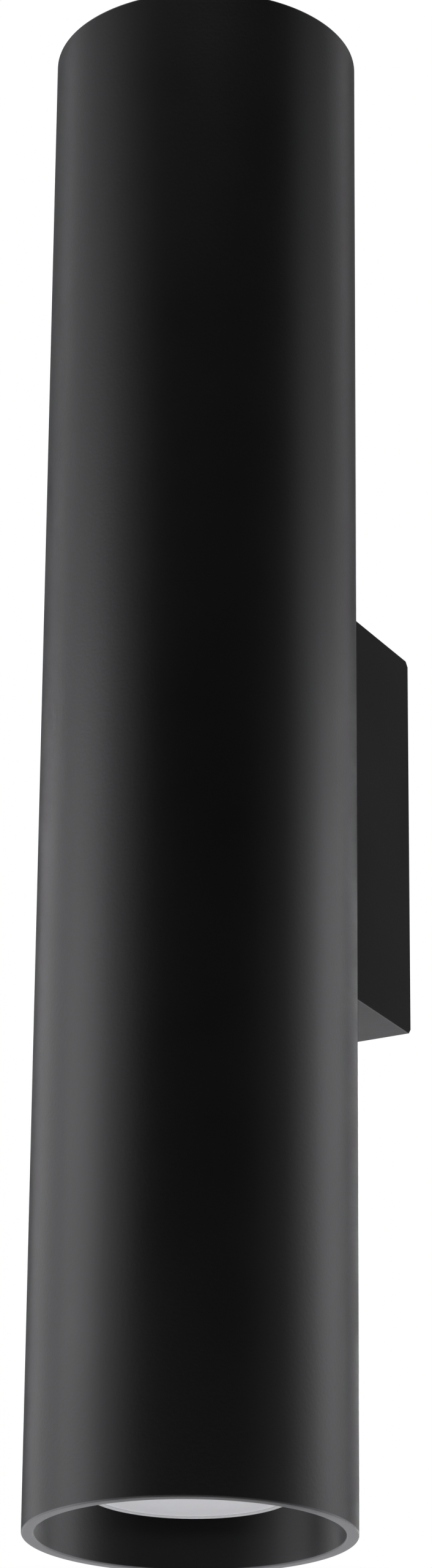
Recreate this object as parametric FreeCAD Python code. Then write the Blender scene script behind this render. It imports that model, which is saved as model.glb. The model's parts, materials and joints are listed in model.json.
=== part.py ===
import FreeCAD, Part
import math
import os

from FreeCAD import Vector

# Up-and-down tube wall light: a long round aluminium tube, open at both ends, carried off the
# wall by a narrow sheet-steel box. A twist-lock reflector lamp sits just inside each mouth.
#
# Frame, in millimetres: the wall is the plane Y = 0 and the light stands out of it towards -Y.
# +Z is up, and the origin is the middle of the wall bracket's back face.

# ---- driving dimensions: tube and wall box -------------------------------------------------
TUBE_DIAMETER = 80.0
TUBE_WALL = 3.0
TUBE_LENGTH = 400.0
TUBE_EDGE_CHAMFER = 0.4
AXIS_TO_WALL = 80.0            # tube axis to the wall plane
BOX_WIDTH = 40.0
BOX_HEIGHT = 106.0
BOX_SHEET = 1.5
BOX_EDGE_RADIUS = 1.0
BOX_BACK_RADIUS = 1.3          # rounded edge of the top and bottom panels at the wall

# ---- driving dimensions: wall bracket ------------------------------------------------------
STRAP_WIDTH = 34.0
STRAP_SHEET = 2.0
STRAP_BEND_RADIUS = 1.8
EAR_DEPTH = 16.0
EAR_GAP = 0.2                  # between each bracket ear and the box wall that slides over it
WALL_SLOT_SPACING = 70.0
WALL_SLOT_LENGTH = 12.0
WALL_SLOT_WIDTH = 5.0
CABLE_HOLE_DIAMETER = 12.0
CABLE_BORE_DIAMETER = 8.0
CABLE_HOLE_Z = -10.0
STRAP_CORNER_RADIUS = 3.0

# ---- driving dimensions: inner carrier -----------------------------------------------------
CARRIER_WIDTH = 20.0
CARRIER_SHEET = 1.5
CARRIER_GAP = 0.1              # between the carrier's long edges and the tube's bore
CARRIER_BEND_RADIUS = 1.5      # inside radius of both bends
SHELF_WIDTH = 34.0             # shelf that carries a lampholder
SHELF_OVERHANG = 12.0          # shelf beyond the tube's axis, away from the wall
SHELF_WIRE_SLOT_LENGTH = 16.0
SHELF_WIRE_SLOT_WIDTH = 6.0

# ---- driving dimensions: fasteners ---------------------------------------------------------
FIXING_THREAD = 5.0            # two screws that tie the box, the tube and the carrier together
FIXING_SPACING = 60.0
FIXING_LENGTH = 15.0
WASHER_THICKNESS = 1.0
LOCKING_THREAD = 4.0           # one screw above and one below lock the box to the bracket
LOCKING_LENGTH = 6.5
LOCKING_SETBACK = 8.0          # locking screws in front of the wall
EARTH_THREAD = 4.0
EARTH_X = 11.0
EARTH_Z = -20.0
CLEARANCE_HOLE = 0.5           # a clearance hole is this much wider than its thread
PAN_HEAD_RATIO = 1.85          # pan head across, in threads
BLOCK_HEAD_RATIO = 1.4         # narrow head of the screw between two terminal poles
PAN_HEAD_HEIGHT_RATIO = 0.62
PAN_HEAD_SHOULDER = 0.45       # bevel of a pan head, in head heights
RECESS_DEPTH_RATIO = 0.6       # cross recess, in head heights
RECESS_REACH_RATIO = 0.48      # half its length, in threads
RECESS_BLADE_RATIO = 0.09      # half its blade, in threads
THREAD_GAP = 0.05              # all round a screw in its tapped hole
WASHER_RATIO = 2.0             # washer across, in threads
NUT_RATIO = 1.6                # nut across its flats, in threads
NUT_HEIGHT_RATIO = 0.8
LUG_THICKNESS = 0.8
LUG_RING_RATIO = 1.9           # ring across, in threads
LUG_NECK_LENGTH = 1.2          # between the ring and the crimped barrel
LUG_NECK_LAP = 1.0             # neck that lies along the barrel
LUG_NECK_RATIO = 0.8           # neck across, in barrels
LUG_BARREL_WALL = 0.8
LUG_BARREL_LENGTH = 6.0

# ---- driving dimensions: wire bushes and wires ---------------------------------------------
BUSH_DIAMETER = 10.0
BUSH_BORE = 7.2
BUSH_LIP = 2.0                 # lip beyond the hole's edge
BUSH_LIP_THICKNESS = 1.2
BUSH_GAP = 0.05
WIRE_DIAMETER = 2.0
WIRE_GAP = 0.15                # all round a wire in a hole that fits it
WIRE_IN_CLAMP = 7.0            # how far up the terminal block each wire reaches
WIRE_IN_LUG = 2.0              # how deep an earth wire sits in its lug
WIRE_BEND_RATIO = 0.45         # share of the shorter run that each arc takes
SOCKET_RUN_END_Z = 66.0        # where a lamp wire leaves the straight line below its lampholder
WIRE_TURN_DEPTH = 10.5         # where it turns into the bush, in front of the carrier
BUSH_RUN_LENGTH = 4.5          # straight run behind the box's front
TUBE_EARTH_BEND_Z = (-8.5, -9.0)
BRACKET_EARTH_BEND_Z = (1.5, -3.0)

# ---- driving dimensions: terminal block ----------------------------------------------------
POLE_PITCH = 9.0
BLOCK_BOTTOM_Z = 9.0
BLOCK_LENGTH = 18.0
BLOCK_HEIGHT = 14.0
BLOCK_TOWER_DIAMETER = 6.4
BLOCK_SHOULDER = 3.0           # screw towers stand this far above the block's shoulder
BLOCK_GROOVE_DEPTH = 1.5       # groove in the shoulder, where two poles can be cut apart
CLAMP_SIDE = 5.8
CLAMP_LENGTH = 13.0
CLAMP_BORE = 4.4
CLAMP_GAP = 0.1
CLAMP_AXIS_DEPTH = 7.0         # wire bore in front of the strap's front face
GRUB_DIAMETER = 3.0            # screws that bear on the wires
GRUB_DEPTH = 1.0               # below the top of its tower
GRUB_SLOT_DEPTH = 0.8
GRUB_SLOT_WIDTH = 0.6
BLOCK_SCREW_THREAD = 3.0
SCREW_END_SETBACK = 0.3        # screws into the strap end this far in front of the wall

# ---- driving dimensions: lampholders -------------------------------------------------------
PIN_SPACING = 10.0
PIN_SHANK_DIAMETER = 3.0
PIN_HEAD_DIAMETER = 4.8
PIN_HEAD_LENGTH = 3.1
PIN_LENGTH = 7.0
PIN_HEAD_CHAMFER = 0.4
LAMP_TWIST = 30.0              # degrees from locked to free
HOLDER_LENGTH = 30.0
HOLDER_WIDTH = 17.0
HOLDER_HEIGHT = 15.0
HOLDER_LEDGE = 3.2             # wall that the pin heads lock behind
HOLDER_COVER = 2.5
HOLDER_CHAMFER = 0.6
HOLDER_SCREW_RELIEF = 1.0      # tapped hole beyond the screw's end
HOLDER_SCREW_THREAD = 3.0
HOLDER_SCREW_SPACING = 23.0
HOLDER_SCREW_LENGTH = 12.0
LAMP_SEAT_GAP = 0.3            # lamp base to lampholder face
KEYHOLE_GAP = 0.3              # round a pin shank in the narrow part of its keyhole
CHAMBER_GAP = 0.4              # round a pin head in its chamber
CONTACT_THICKNESS = 0.5
CONTACT_WIDTH = 3.2
CONTACT_REACH = 2.0            # leaf beyond the pin's axis, outwards
CONTACT_INSET = 1.4            # and inwards
CONTACT_BEND = 1.0             # bevel where the leaf turns down to its foot

# ---- driving dimensions: lamps -------------------------------------------------------------
LAMP_DIAMETER = 50.0
LAMP_RECESS = 10.0             # lamp face behind the tube's mouth
LAMP_LENGTH = 47.5             # lamp face to the end of its base, without the pins
LAMP_RIM_HEIGHT = 6.0
LAMP_SHELL = 1.4
LAMP_NECK_DIAMETER = 28.4
LAMP_BASE_HEIGHT = 9.5
LAMP_BASE_LENGTH = 27.0
LAMP_BASE_WIDTH = 17.0
LAMP_BASE_CHAMFER = 1.5
BASE_PLUG_HEIGHT = 3.0
FIN_COUNT = 12
FIN_ANGLE = 3.6                # each fin's share of the circle, in degrees
FIN_HEIGHT = 2.6
LENS_THICKNESS = 1.6
LENS_SETBACK = 0.4
LENS_GAP = 0.1
LENS_LEDGE = 1.2
LENS_DOME = 0.3                # rise of the middle over the bevelled edge
LENS_EDGE_DROP = 0.3
BOARD_THICKNESS = 1.6
BOARD_DEPTH = 8.0              # seat of the light-emitting board behind the lamp face
BOARD_LEDGE = 1.6
CHIP_COUNT = 10
CHIP_CIRCLE_RADIUS = 14.0
CHIP_LENGTH = 3.5
CHIP_WIDTH = 2.8
CHIP_HEIGHT = 0.7
DRIVER_WIDTH = 19.0
DRIVER_THICKNESS = 1.6
DRIVER_LENGTH = 22.0
DRIVER_SLOT_DEPTH = 2.0
CAPACITOR_DIAMETER = 8.0
CAPACITOR_LENGTH = 12.0
CAPACITOR_FLAT = 0.5           # glued flat of the capacitor on the board
CHOKE_SIDE = 7.0
DRIVER_PARTS_RISE = 1.0        # capacitor and choke above the base's plug

# ---- places worked out from the driving dimensions -----------------------------------------
TUBE_RADIUS = TUBE_DIAMETER / 2
BORE_RADIUS = TUBE_RADIUS - TUBE_WALL
TUBE_TOP = TUBE_LENGTH / 2
AXIS_Y = -AXIS_TO_WALL
BOX_FRONT = AXIS_Y + TUBE_RADIUS                    # outer face of the box, where the tube bears
BOX_INSIDE_FRONT = BOX_FRONT + BOX_SHEET
BOX_TOP = BOX_HEIGHT / 2
BOX_INSIDE_TOP = BOX_TOP - BOX_SHEET
STRAP_FRONT = -STRAP_SHEET
EAR_TOP = BOX_INSIDE_TOP - EAR_GAP
WEB_OUTSIDE_RADIUS = math.sqrt((BORE_RADIUS - CARRIER_GAP) ** 2 - (CARRIER_WIDTH / 2) ** 2)
WEB_OUTSIDE = AXIS_Y + WEB_OUTSIDE_RADIUS           # carrier face towards the wall
WEB_INSIDE = WEB_OUTSIDE - CARRIER_SHEET
LAMP_FACE = TUBE_TOP - LAMP_RECESS
HOLDER_FACE = -(LAMP_LENGTH + LAMP_SEAT_GAP)        # lampholder and lamp heights are measured
HOLDER_BACK = HOLDER_FACE - HOLDER_HEIGHT           # from the lamp face, + out of the mouth
COVER_BACK = HOLDER_BACK - HOLDER_COVER
SHELF_BACK = COVER_BACK - CARRIER_SHEET
SHELF_TOP = LAMP_FACE + COVER_BACK                  # outer face of the upper shelf
BLOCK_FRONT = STRAP_FRONT - BLOCK_HEIGHT
CLAMP_Y = STRAP_FRONT - CLAMP_AXIS_DEPTH
WIRE_PACK = WIRE_DIAMETER / 2 + WIRE_GAP            # half the pitch of four wires in a bush
WIRE_END_Z = BLOCK_BOTTOM_Z + WIRE_IN_CLAMP
BIG = 500.0                                         # longer than the whole light


# ---- small geometry helpers ----------------------------------------------------------------
def block(x0, x1, y0, y1, z0, z1):
    """A box between two opposite corners."""
    return Part.makeBox(x1 - x0, y1 - y0, z1 - z0, Vector(x0, y0, z0))


def rod(radius, start, end):
    """A round bar from one point to another."""
    along = end - start
    return Part.makeCylinder(radius, along.Length, start, along)


def tube_between(outer_radius, inner_radius, start, end):
    """A hollow round bar from one point to another."""
    return rod(outer_radius, start, end).cut(rod(inner_radius, start, end))


def stadium(length, width, z0, z1):
    """A round-ended bar that is long along X and centred on the Z axis."""
    reach = (length - width) / 2
    radius = width / 2
    solid = block(-reach, reach, -radius, radius, z0, z1)
    for side in (-1, 1):
        solid = solid.fuse(rod(radius, Vector(side * reach, 0, z0), Vector(side * reach, 0, z1)))
    return solid.removeSplitter()


def slot_along_z(x, z, length, width, y0, y1):
    """A cutter for a slot that is long along Z, through a plate that faces Y."""
    reach = (length - width) / 2
    radius = width / 2
    solid = block(x - radius, x + radius, y0, y1, z - reach, z + reach)
    for end in (z - reach, z + reach):
        solid = solid.fuse(rod(radius, Vector(x, y0, end), Vector(x, y1, end)))
    return solid.removeSplitter()


def revolved(profile):
    """A solid of revolution round Z from a closed list of (radius, z) points."""
    points = [Vector(r, 0, z) for r, z in profile]
    face = Part.Face(Part.makePolygon(points + points[:1]))
    return face.revolve(Vector(0, 0, 0), Vector(0, 0, 1), 360)


def hexagon(across_flats, start, end):
    """A hexagonal bar from one point to another."""
    along = end - start
    radius = across_flats / math.sqrt(3)
    corners = [Vector(radius * math.cos(math.radians(60 * k)), radius * math.sin(math.radians(60 * k)), 0)
               for k in range(6)]
    bar = Part.Face(Part.makePolygon(corners + corners[:1])).extrude(Vector(0, 0, along.Length))
    bar.Placement = FreeCAD.Placement(start, FreeCAD.Rotation(Vector(0, 0, 1), along))
    return bar


def pan_screw(thread, length, seat, into, head_ratio=PAN_HEAD_RATIO):
    """A cross-recessed pan-head screw. Its head bears at seat, and its shank runs along into."""
    head_height = thread * PAN_HEAD_HEIGHT_RATIO
    head_radius = thread * head_ratio / 2
    shoulder = head_height * PAN_HEAD_SHOULDER
    screw = revolved([(0, -head_height), (head_radius - shoulder, -head_height),
                      (head_radius, shoulder - head_height), (head_radius, 0),
                      (thread / 2, 0), (thread / 2, length), (0, length)])
    depth = head_height * RECESS_DEPTH_RATIO
    wing = thread * RECESS_REACH_RATIO
    blade = thread * RECESS_BLADE_RATIO
    for cross in (block(-wing, wing, -blade, blade, -head_height, depth - head_height),
                  block(-blade, blade, -wing, wing, -head_height, depth - head_height)):
        screw = screw.cut(cross)
    screw.Placement = FreeCAD.Placement(seat, FreeCAD.Rotation(Vector(0, 0, 1), Vector(into)))
    return screw


def wire(points):
    """A round wire along straight runs that are joined by tangent arcs, and each arc's radius."""
    points = [Vector(*p) for p in points]
    runs = [points[k + 1] - points[k] for k in range(len(points) - 1)]
    edges = []
    radii = []
    start = points[0]
    for k in range(1, len(points) - 1):
        before = Vector(runs[k - 1]).normalize()
        after = Vector(runs[k]).normalize()
        half_turn = before.getAngle(after) / 2
        setback = WIRE_BEND_RATIO * min(runs[k - 1].Length, runs[k].Length)
        radius = setback / math.tan(half_turn)
        radii.append(round(radius, 1))
        arc_start = points[k] - before * setback
        arc_end = points[k] + after * setback
        towards_centre = (after - before).normalize()
        middle = points[k] + towards_centre * (radius / math.cos(half_turn) - radius)
        edges.append(Part.LineSegment(start, arc_start).toShape())
        edges.append(Part.Arc(arc_start, middle, arc_end).toShape())
        start = arc_end
    edges.append(Part.LineSegment(start, points[-1]).toShape())
    path = Part.Wire(edges)
    section = Part.Face(Part.Wire(Part.makeCircle(WIRE_DIAMETER / 2, points[0], runs[0])))
    solid = path.makePipe(section)
    share = solid.Volume / (path.Length * math.pi * (WIRE_DIAMETER / 2) ** 2)
    return solid, radii, path.Length, share


def at_mouth(shape, end):
    """Moves a shape from the lamp's own frame, face at 0 and + out of the mouth, to one end."""
    sign = 1 if end == "upper" else -1
    turn = FreeCAD.Rotation(Vector(1, 0, 0), 90 - sign * 90)
    moved = shape.copy()
    moved.transformShape(FreeCAD.Placement(Vector(0, AXIS_Y, sign * LAMP_FACE), turn).toMatrix(), True)
    return moved


def group(solids):
    """Like pieces that share one node."""
    return Part.makeCompound(list(solids))


# ---- tube, box and what ties them ----------------------------------------------------------
def make_tube():
    half = TUBE_LENGTH / 2
    edge = TUBE_EDGE_CHAMFER
    tube = revolved([
        (BORE_RADIUS, -half + edge), (BORE_RADIUS + edge, -half),
        (TUBE_RADIUS - edge, -half), (TUBE_RADIUS, -half + edge),
        (TUBE_RADIUS, half - edge), (TUBE_RADIUS - edge, half),
        (BORE_RADIUS + edge, half), (BORE_RADIUS, half - edge)])
    tube.translate(Vector(0, AXIS_Y, 0))
    return tube.cut(back_hole_cutters())


def fixing_heights():
    return (-FIXING_SPACING / 2, FIXING_SPACING / 2)


def back_hole_cutters():
    """The holes that the tube, the carrier and the box's front share: two screws and the wires."""
    front, back = Vector(0, AXIS_Y, 0), Vector(0, BOX_INSIDE_FRONT + BOX_SHEET, 0)
    cutters = [rod(BUSH_DIAMETER / 2 + BUSH_GAP, front, back)]
    for z in fixing_heights():
        up = Vector(0, 0, z)
        cutters.append(rod((FIXING_THREAD + CLEARANCE_HOLE) / 2, front + up, back + up))
    return group(cutters)


def make_wall_box():
    half = BOX_WIDTH / 2
    outside = block(-half, half, BOX_FRONT, 0, -BOX_TOP, BOX_TOP)
    bends = [edge for edge in outside.Edges if edge.BoundBox.YMin < -BOX_SHEET]
    outside = outside.makeFillet(BOX_EDGE_RADIUS, bends)
    at_wall = [edge for edge in outside.Edges
               if edge.BoundBox.YMin > -1e-6 and edge.BoundBox.XLength > BOX_WIDTH / 2]
    outside = outside.makeFillet(min(BOX_BACK_RADIUS, 0.9 * BOX_SHEET), at_wall)
    inside = block(-half + BOX_SHEET, half - BOX_SHEET, BOX_INSIDE_FRONT, BOX_SHEET,
                   -BOX_INSIDE_TOP, BOX_INSIDE_TOP)
    shell = outside.cut(inside).cut(back_hole_cutters())
    hole = (LOCKING_THREAD + CLEARANCE_HOLE) / 2
    return shell.cut(rod(hole, Vector(0, -LOCKING_SETBACK, -BIG), Vector(0, -LOCKING_SETBACK, BIG)))


def make_wire_bush():
    """Rubber bush that takes the four lamp wires through the box, the tube and the carrier."""
    lip_radius = BUSH_DIAMETER / 2 + BUSH_LIP
    inside_end = Vector(0, WEB_INSIDE, 0)
    box_end = Vector(0, BOX_INSIDE_FRONT, 0)
    lip = Vector(0, BUSH_LIP_THICKNESS, 0)
    barrel = rod(BUSH_DIAMETER / 2, inside_end, box_end)
    barrel = barrel.fuse(rod(lip_radius, box_end, box_end + lip))
    barrel = barrel.fuse(rod(lip_radius, inside_end - lip, inside_end)).removeSplitter()
    return barrel.cut(rod(BUSH_BORE / 2, inside_end - lip, box_end + lip))


def lug_at(z):
    """Whether an earth lug lies under the fixing screw at this height: the lower one only."""
    return LUG_THICKNESS if z < 0 else 0.0


def make_fixing_screws():
    screws = []
    for z in fixing_heights():
        seat = Vector(0, BOX_INSIDE_FRONT + WASHER_THICKNESS + lug_at(z), z)
        screws.append(pan_screw(FIXING_THREAD, FIXING_LENGTH, seat, (0, -1, 0)))
    return group(screws)


def make_fixing_washers():
    washers = []
    for z in fixing_heights():
        start = Vector(0, BOX_INSIDE_FRONT, z)
        end = start + Vector(0, WASHER_THICKNESS, 0)
        washers.append(tube_between(FIXING_THREAD * WASHER_RATIO / 2,
                                    (FIXING_THREAD + CLEARANCE_HOLE) / 2, start, end))
    return group(washers)


def make_weld_nuts():
    """Two hexagon nuts welded to the carrier, one for each fixing screw."""
    nuts = []
    for z in fixing_heights():
        start = Vector(0, WEB_INSIDE, z)
        end = start - Vector(0, FIXING_THREAD * NUT_HEIGHT_RATIO, 0)
        nut = hexagon(FIXING_THREAD * NUT_RATIO, start, end)
        nuts.append(nut.cut(rod(FIXING_THREAD / 2 + THREAD_GAP, start, end)))
    return group(nuts)


# ---- carrier with its two lampholder shelves -----------------------------------------------
def make_carrier():
    """One bent steel strip: a long web against the tube's bore and a shelf at each end."""
    half = CARRIER_WIDTH / 2
    bend = CARRIER_BEND_RADIUS + CARRIER_SHEET
    web = block(-half, half, WEB_INSIDE, WEB_OUTSIDE, -SHELF_TOP, SHELF_TOP)
    carrier = web
    shelf_end = AXIS_Y - SHELF_OVERHANG
    side = SHELF_WIDTH / 2
    neck_y = AXIS_Y + side
    for sign in (-1, 1):
        low, high = sorted((sign * SHELF_TOP, sign * (SHELF_TOP - CARRIER_SHEET)))
        neck = block(-half, half, AXIS_Y, WEB_INSIDE, low, high)
        pad = block(-side, side, shelf_end, neck_y, low, high)
        corners = [edge for edge in pad.Edges if abs(edge.Length - CARRIER_SHEET) < 1e-6]
        carrier = carrier.fuse(neck).fuse(pad.makeFillet(STRAP_CORNER_RADIUS, corners))
        # inner and outer bend radii between the web and this shelf
        inner_z = sign * (SHELF_TOP - CARRIER_SHEET)
        centre = Vector(-half, WEB_INSIDE - CARRIER_BEND_RADIUS, inner_z - sign * CARRIER_BEND_RADIUS)
        far = centre + Vector(CARRIER_WIDTH, 0, 0)
        z0, z1 = sorted((centre.z, inner_z))
        corner_fill = block(-half, half, centre.y, WEB_INSIDE, z0, z1)
        carrier = carrier.fuse(corner_fill.cut(rod(CARRIER_BEND_RADIUS, centre, far)))
        z0, z1 = sorted((centre.z, sign * (SHELF_TOP + 1)))
        corner_trim = block(-half, half, centre.y, WEB_OUTSIDE + 1, z0, z1)
        carrier = carrier.cut(corner_trim.cut(rod(bend, centre, far)))
    carrier = carrier.removeSplitter().cut(back_hole_cutters())
    cutter = stadium(SHELF_WIRE_SLOT_LENGTH, SHELF_WIRE_SLOT_WIDTH, SHELF_BACK, COVER_BACK)
    cutter = group([cutter] + [rod((HOLDER_SCREW_THREAD + CLEARANCE_HOLE) / 2, start, end)
                               for start, end in holder_screw_lines(SHELF_BACK, COVER_BACK)])
    for end in ("upper", "lower"):
        carrier = carrier.cut(at_mouth(cutter, end))
    return carrier


def holder_screw_lines(z0, z1):
    """The two lampholder screw axes between two heights, in the lamp's frame."""
    reach = HOLDER_SCREW_SPACING / 2
    return [(Vector(x, 0, z0), Vector(x, 0, z1)) for x in (-reach, reach)]


# ---- lampholder, in the lamp's frame -------------------------------------------------------
def pin_angles():
    return (0.0, 180.0)


def keyhole_sweep(radius, z0, z1, start_angle):
    """A cutter as wide as a bar of this radius makes when it turns through the twist angle."""
    centre_radius = PIN_SPACING / 2
    sector = Part.makeCylinder(centre_radius + radius, z1 - z0, Vector(0, 0, z0), Vector(0, 0, 1),
                               LAMP_TWIST)
    sector = sector.cut(Part.makeCylinder(centre_radius - radius, z1 - z0, Vector(0, 0, z0)))
    for angle in (0.0, LAMP_TWIST):
        spot = Vector(centre_radius * math.cos(math.radians(angle)),
                      centre_radius * math.sin(math.radians(angle)), 0)
        sector = sector.fuse(rod(radius, spot + Vector(0, 0, z0), spot + Vector(0, 0, z1)))
    sector = sector.removeSplitter()
    sector.rotate(Vector(0, 0, 0), Vector(0, 0, 1), start_angle)
    return sector


def make_holder_body():
    """Ceramic body: keyhole slots in its face, and a chamber behind each for the pin head."""
    body = stadium(HOLDER_LENGTH, HOLDER_WIDTH, HOLDER_BACK, HOLDER_FACE)
    face_edges = [edge for edge in body.Edges
                  if edge.BoundBox.ZMin > HOLDER_FACE - 1e-6]
    body = body.makeChamfer(HOLDER_CHAMFER, face_edges)
    ledge_back = HOLDER_FACE - HOLDER_LEDGE
    shank = PIN_SHANK_DIAMETER / 2 + KEYHOLE_GAP
    head = PIN_HEAD_DIAMETER / 2 + CHAMBER_GAP
    for angle in pin_angles():
        body = body.cut(keyhole_sweep(shank, ledge_back, HOLDER_FACE, angle))
        body = body.cut(keyhole_sweep(head, HOLDER_BACK, ledge_back, angle))
        free = math.radians(angle + LAMP_TWIST)
        spot = Vector(PIN_SPACING / 2 * math.cos(free), PIN_SPACING / 2 * math.sin(free), 0)
        body = body.cut(rod(head, spot + Vector(0, 0, ledge_back), spot + Vector(0, 0, HOLDER_FACE)))
    depth = HOLDER_SCREW_LENGTH - CARRIER_SHEET - HOLDER_COVER + HOLDER_SCREW_RELIEF
    for start, end in holder_screw_lines(HOLDER_BACK, HOLDER_BACK + depth):
        body = body.cut(rod(HOLDER_SCREW_THREAD / 2 + THREAD_GAP, start, end))
    return body


def make_holder_cover():
    """Ceramic back cover, with a hole for each wire and each screw."""
    cover = stadium(HOLDER_LENGTH, HOLDER_WIDTH, COVER_BACK, HOLDER_BACK)
    for start, end in holder_screw_lines(COVER_BACK, HOLDER_BACK):
        cover = cover.cut(rod((HOLDER_SCREW_THREAD + CLEARANCE_HOLE) / 2, start, end))
    for x in (-PIN_SPACING / 2, PIN_SPACING / 2):
        hole = rod(WIRE_DIAMETER / 2 + WIRE_GAP, Vector(x, 0, COVER_BACK), Vector(x, 0, HOLDER_BACK))
        cover = cover.cut(hole)
    return cover


def make_contacts():
    """Two bronze springs: a foot on the cover, and a leaf that meets the end of the lamp pin."""
    leaf = -(LAMP_LENGTH + PIN_LENGTH) - LAMP_SEAT_GAP
    foot = HOLDER_BACK
    inner = PIN_SPACING / 2 - CONTACT_INSET
    outer = PIN_SPACING / 2 + CONTACT_REACH
    t = CONTACT_THICKNESS
    bend = CONTACT_BEND
    outline = [(inner, foot), (outer, foot), (outer, leaf - bend), (outer - bend, leaf),
               (inner, leaf), (inner, leaf - t), (outer - bend - t / 2, leaf - t),
               (outer - t, leaf - bend - t / 2), (outer - t, foot + t), (inner, foot + t)]
    points = [Vector(x, -CONTACT_WIDTH / 2, z) for x, z in outline]
    spring = Part.Face(Part.makePolygon(points + points[:1])).extrude(Vector(0, CONTACT_WIDTH, 0))
    other = spring.copy()
    other.rotate(Vector(0, 0, 0), Vector(0, 0, 1), 180)
    return group([spring, other])


def make_holder_screws():
    return group(pan_screw(HOLDER_SCREW_THREAD, HOLDER_SCREW_LENGTH, start, (0, 0, 1))
                 for start, end in holder_screw_lines(SHELF_BACK, HOLDER_BACK))


# ---- lamp, in its own frame ----------------------------------------------------------------
def make_lamp_housing():
    """Tapered cup with a rim for the lens, a ledge for the board and cooling fins outside."""
    rim = LAMP_DIAMETER / 2
    neck = LAMP_NECK_DIAMETER / 2
    neck_z = -(LAMP_LENGTH - LAMP_BASE_HEIGHT)
    inside_rim = rim - LENS_LEDGE
    board_seat = inside_rim - LENS_LEDGE
    below_board = board_seat - BOARD_LEDGE
    wall = LAMP_SHELL
    shoulder_z = -(BOARD_DEPTH + wall)
    lens_seat = -(LENS_SETBACK + LENS_THICKNESS)
    cup = revolved([
        (inside_rim, 0), (rim, 0), (rim, -LAMP_RIM_HEIGHT), (rim - wall, shoulder_z - wall),
        (neck, neck_z), (neck - wall, neck_z), (neck - wall, neck_z + BASE_PLUG_HEIGHT),
        (below_board - wall, shoulder_z), (below_board, -BOARD_DEPTH), (board_seat, -BOARD_DEPTH),
        (board_seat, lens_seat), (inside_rim, lens_seat)])
    fin_outline = [(rim - wall, -LAMP_RIM_HEIGHT), (rim, -LAMP_RIM_HEIGHT),
                   (rim - wall + FIN_HEIGHT / 2, shoulder_z - wall),
                   (neck + FIN_HEIGHT / 2, neck_z + FIN_HEIGHT), (neck, neck_z),
                   (rim - 2 * wall, shoulder_z - wall)]
    points = [Vector(r, 0, z) for r, z in fin_outline]
    fin = Part.Face(Part.makePolygon(points + points[:1]))
    fin = fin.revolve(Vector(0, 0, 0), Vector(0, 0, 1), FIN_ANGLE)
    fins = []
    for k in range(FIN_COUNT):
        one = fin.copy()
        one.rotate(Vector(0, 0, 0), Vector(0, 0, 1), 360.0 * k / FIN_COUNT)
        fins.append(one)
    return cup.multiFuse(fins).removeSplitter()


def make_lamp_lens():
    """Frosted disc in the lamp's rim, faintly domed."""
    radius = LAMP_DIAMETER / 2 - LENS_LEDGE - LENS_GAP
    front = -LENS_SETBACK
    back = front - LENS_THICKNESS
    low = front - LENS_DOME
    return revolved([(0, back), (radius, back), (radius, low - LENS_EDGE_DROP),
                     (radius - LENS_EDGE_DROP, low), (radius / 2, front - LENS_DOME / 4), (0, front)])


def make_led_board():
    radius = LAMP_DIAMETER / 2 - 2 * LENS_LEDGE - LENS_GAP
    return rod(radius, Vector(0, 0, -BOARD_DEPTH), Vector(0, 0, BOARD_THICKNESS - BOARD_DEPTH))


def make_led_chips():
    z0 = BOARD_THICKNESS - BOARD_DEPTH
    chips = []
    for k in range(CHIP_COUNT):
        chip = block(-CHIP_LENGTH / 2, CHIP_LENGTH / 2, -CHIP_WIDTH / 2, CHIP_WIDTH / 2,
                     z0, z0 + CHIP_HEIGHT)
        chip.translate(Vector(0, CHIP_CIRCLE_RADIUS, 0))
        chip.rotate(Vector(0, 0, 0), Vector(0, 0, 1), 360.0 * k / CHIP_COUNT)
        chips.append(chip)
    return group(chips)


def make_lamp_base():
    """Oblong base with chamfered edges. A round plug on it closes the lamp's neck."""
    neck_z = -(LAMP_LENGTH - LAMP_BASE_HEIGHT)
    base = stadium(LAMP_BASE_LENGTH, LAMP_BASE_WIDTH, -LAMP_LENGTH, neck_z)
    end_edges = [edge for edge in base.Edges if edge.BoundBox.ZMax < -LAMP_LENGTH + 1e-6]
    base = base.makeChamfer(LAMP_BASE_CHAMFER, end_edges)
    plug_radius = LAMP_NECK_DIAMETER / 2 - LAMP_SHELL - LENS_GAP
    base = base.fuse(rod(plug_radius, Vector(0, 0, neck_z), Vector(0, 0, neck_z + BASE_PLUG_HEIGHT)))
    top = neck_z + BASE_PLUG_HEIGHT
    slot = block(-DRIVER_WIDTH / 2 - LENS_GAP, DRIVER_WIDTH / 2 + LENS_GAP,
                 -DRIVER_THICKNESS / 2 - LENS_GAP, DRIVER_THICKNESS / 2 + LENS_GAP,
                 top - DRIVER_SLOT_DEPTH, top)
    return base.removeSplitter().cut(slot)


def make_driver_board():
    """Upright board in the lamp's neck, with a capacitor on one face and a choke on the other."""
    bottom = -(LAMP_LENGTH - LAMP_BASE_HEIGHT) + BASE_PLUG_HEIGHT - DRIVER_SLOT_DEPTH
    half = DRIVER_THICKNESS / 2
    board = block(-DRIVER_WIDTH / 2, DRIVER_WIDTH / 2, -half, half, bottom, bottom + DRIVER_LENGTH)
    above_plug = bottom + DRIVER_SLOT_DEPTH + DRIVER_PARTS_RISE
    centre = Vector(0, half + CAPACITOR_DIAMETER / 2 - CAPACITOR_FLAT, above_plug)
    capacitor = rod(CAPACITOR_DIAMETER / 2, centre, centre + Vector(0, 0, CAPACITOR_LENGTH))
    choke = block(-CHOKE_SIDE / 2, CHOKE_SIDE / 2, -half - CHOKE_SIDE, -half,
                  above_plug, above_plug + CHOKE_SIDE)
    return board.fuse(capacitor).fuse(choke).removeSplitter()


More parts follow.
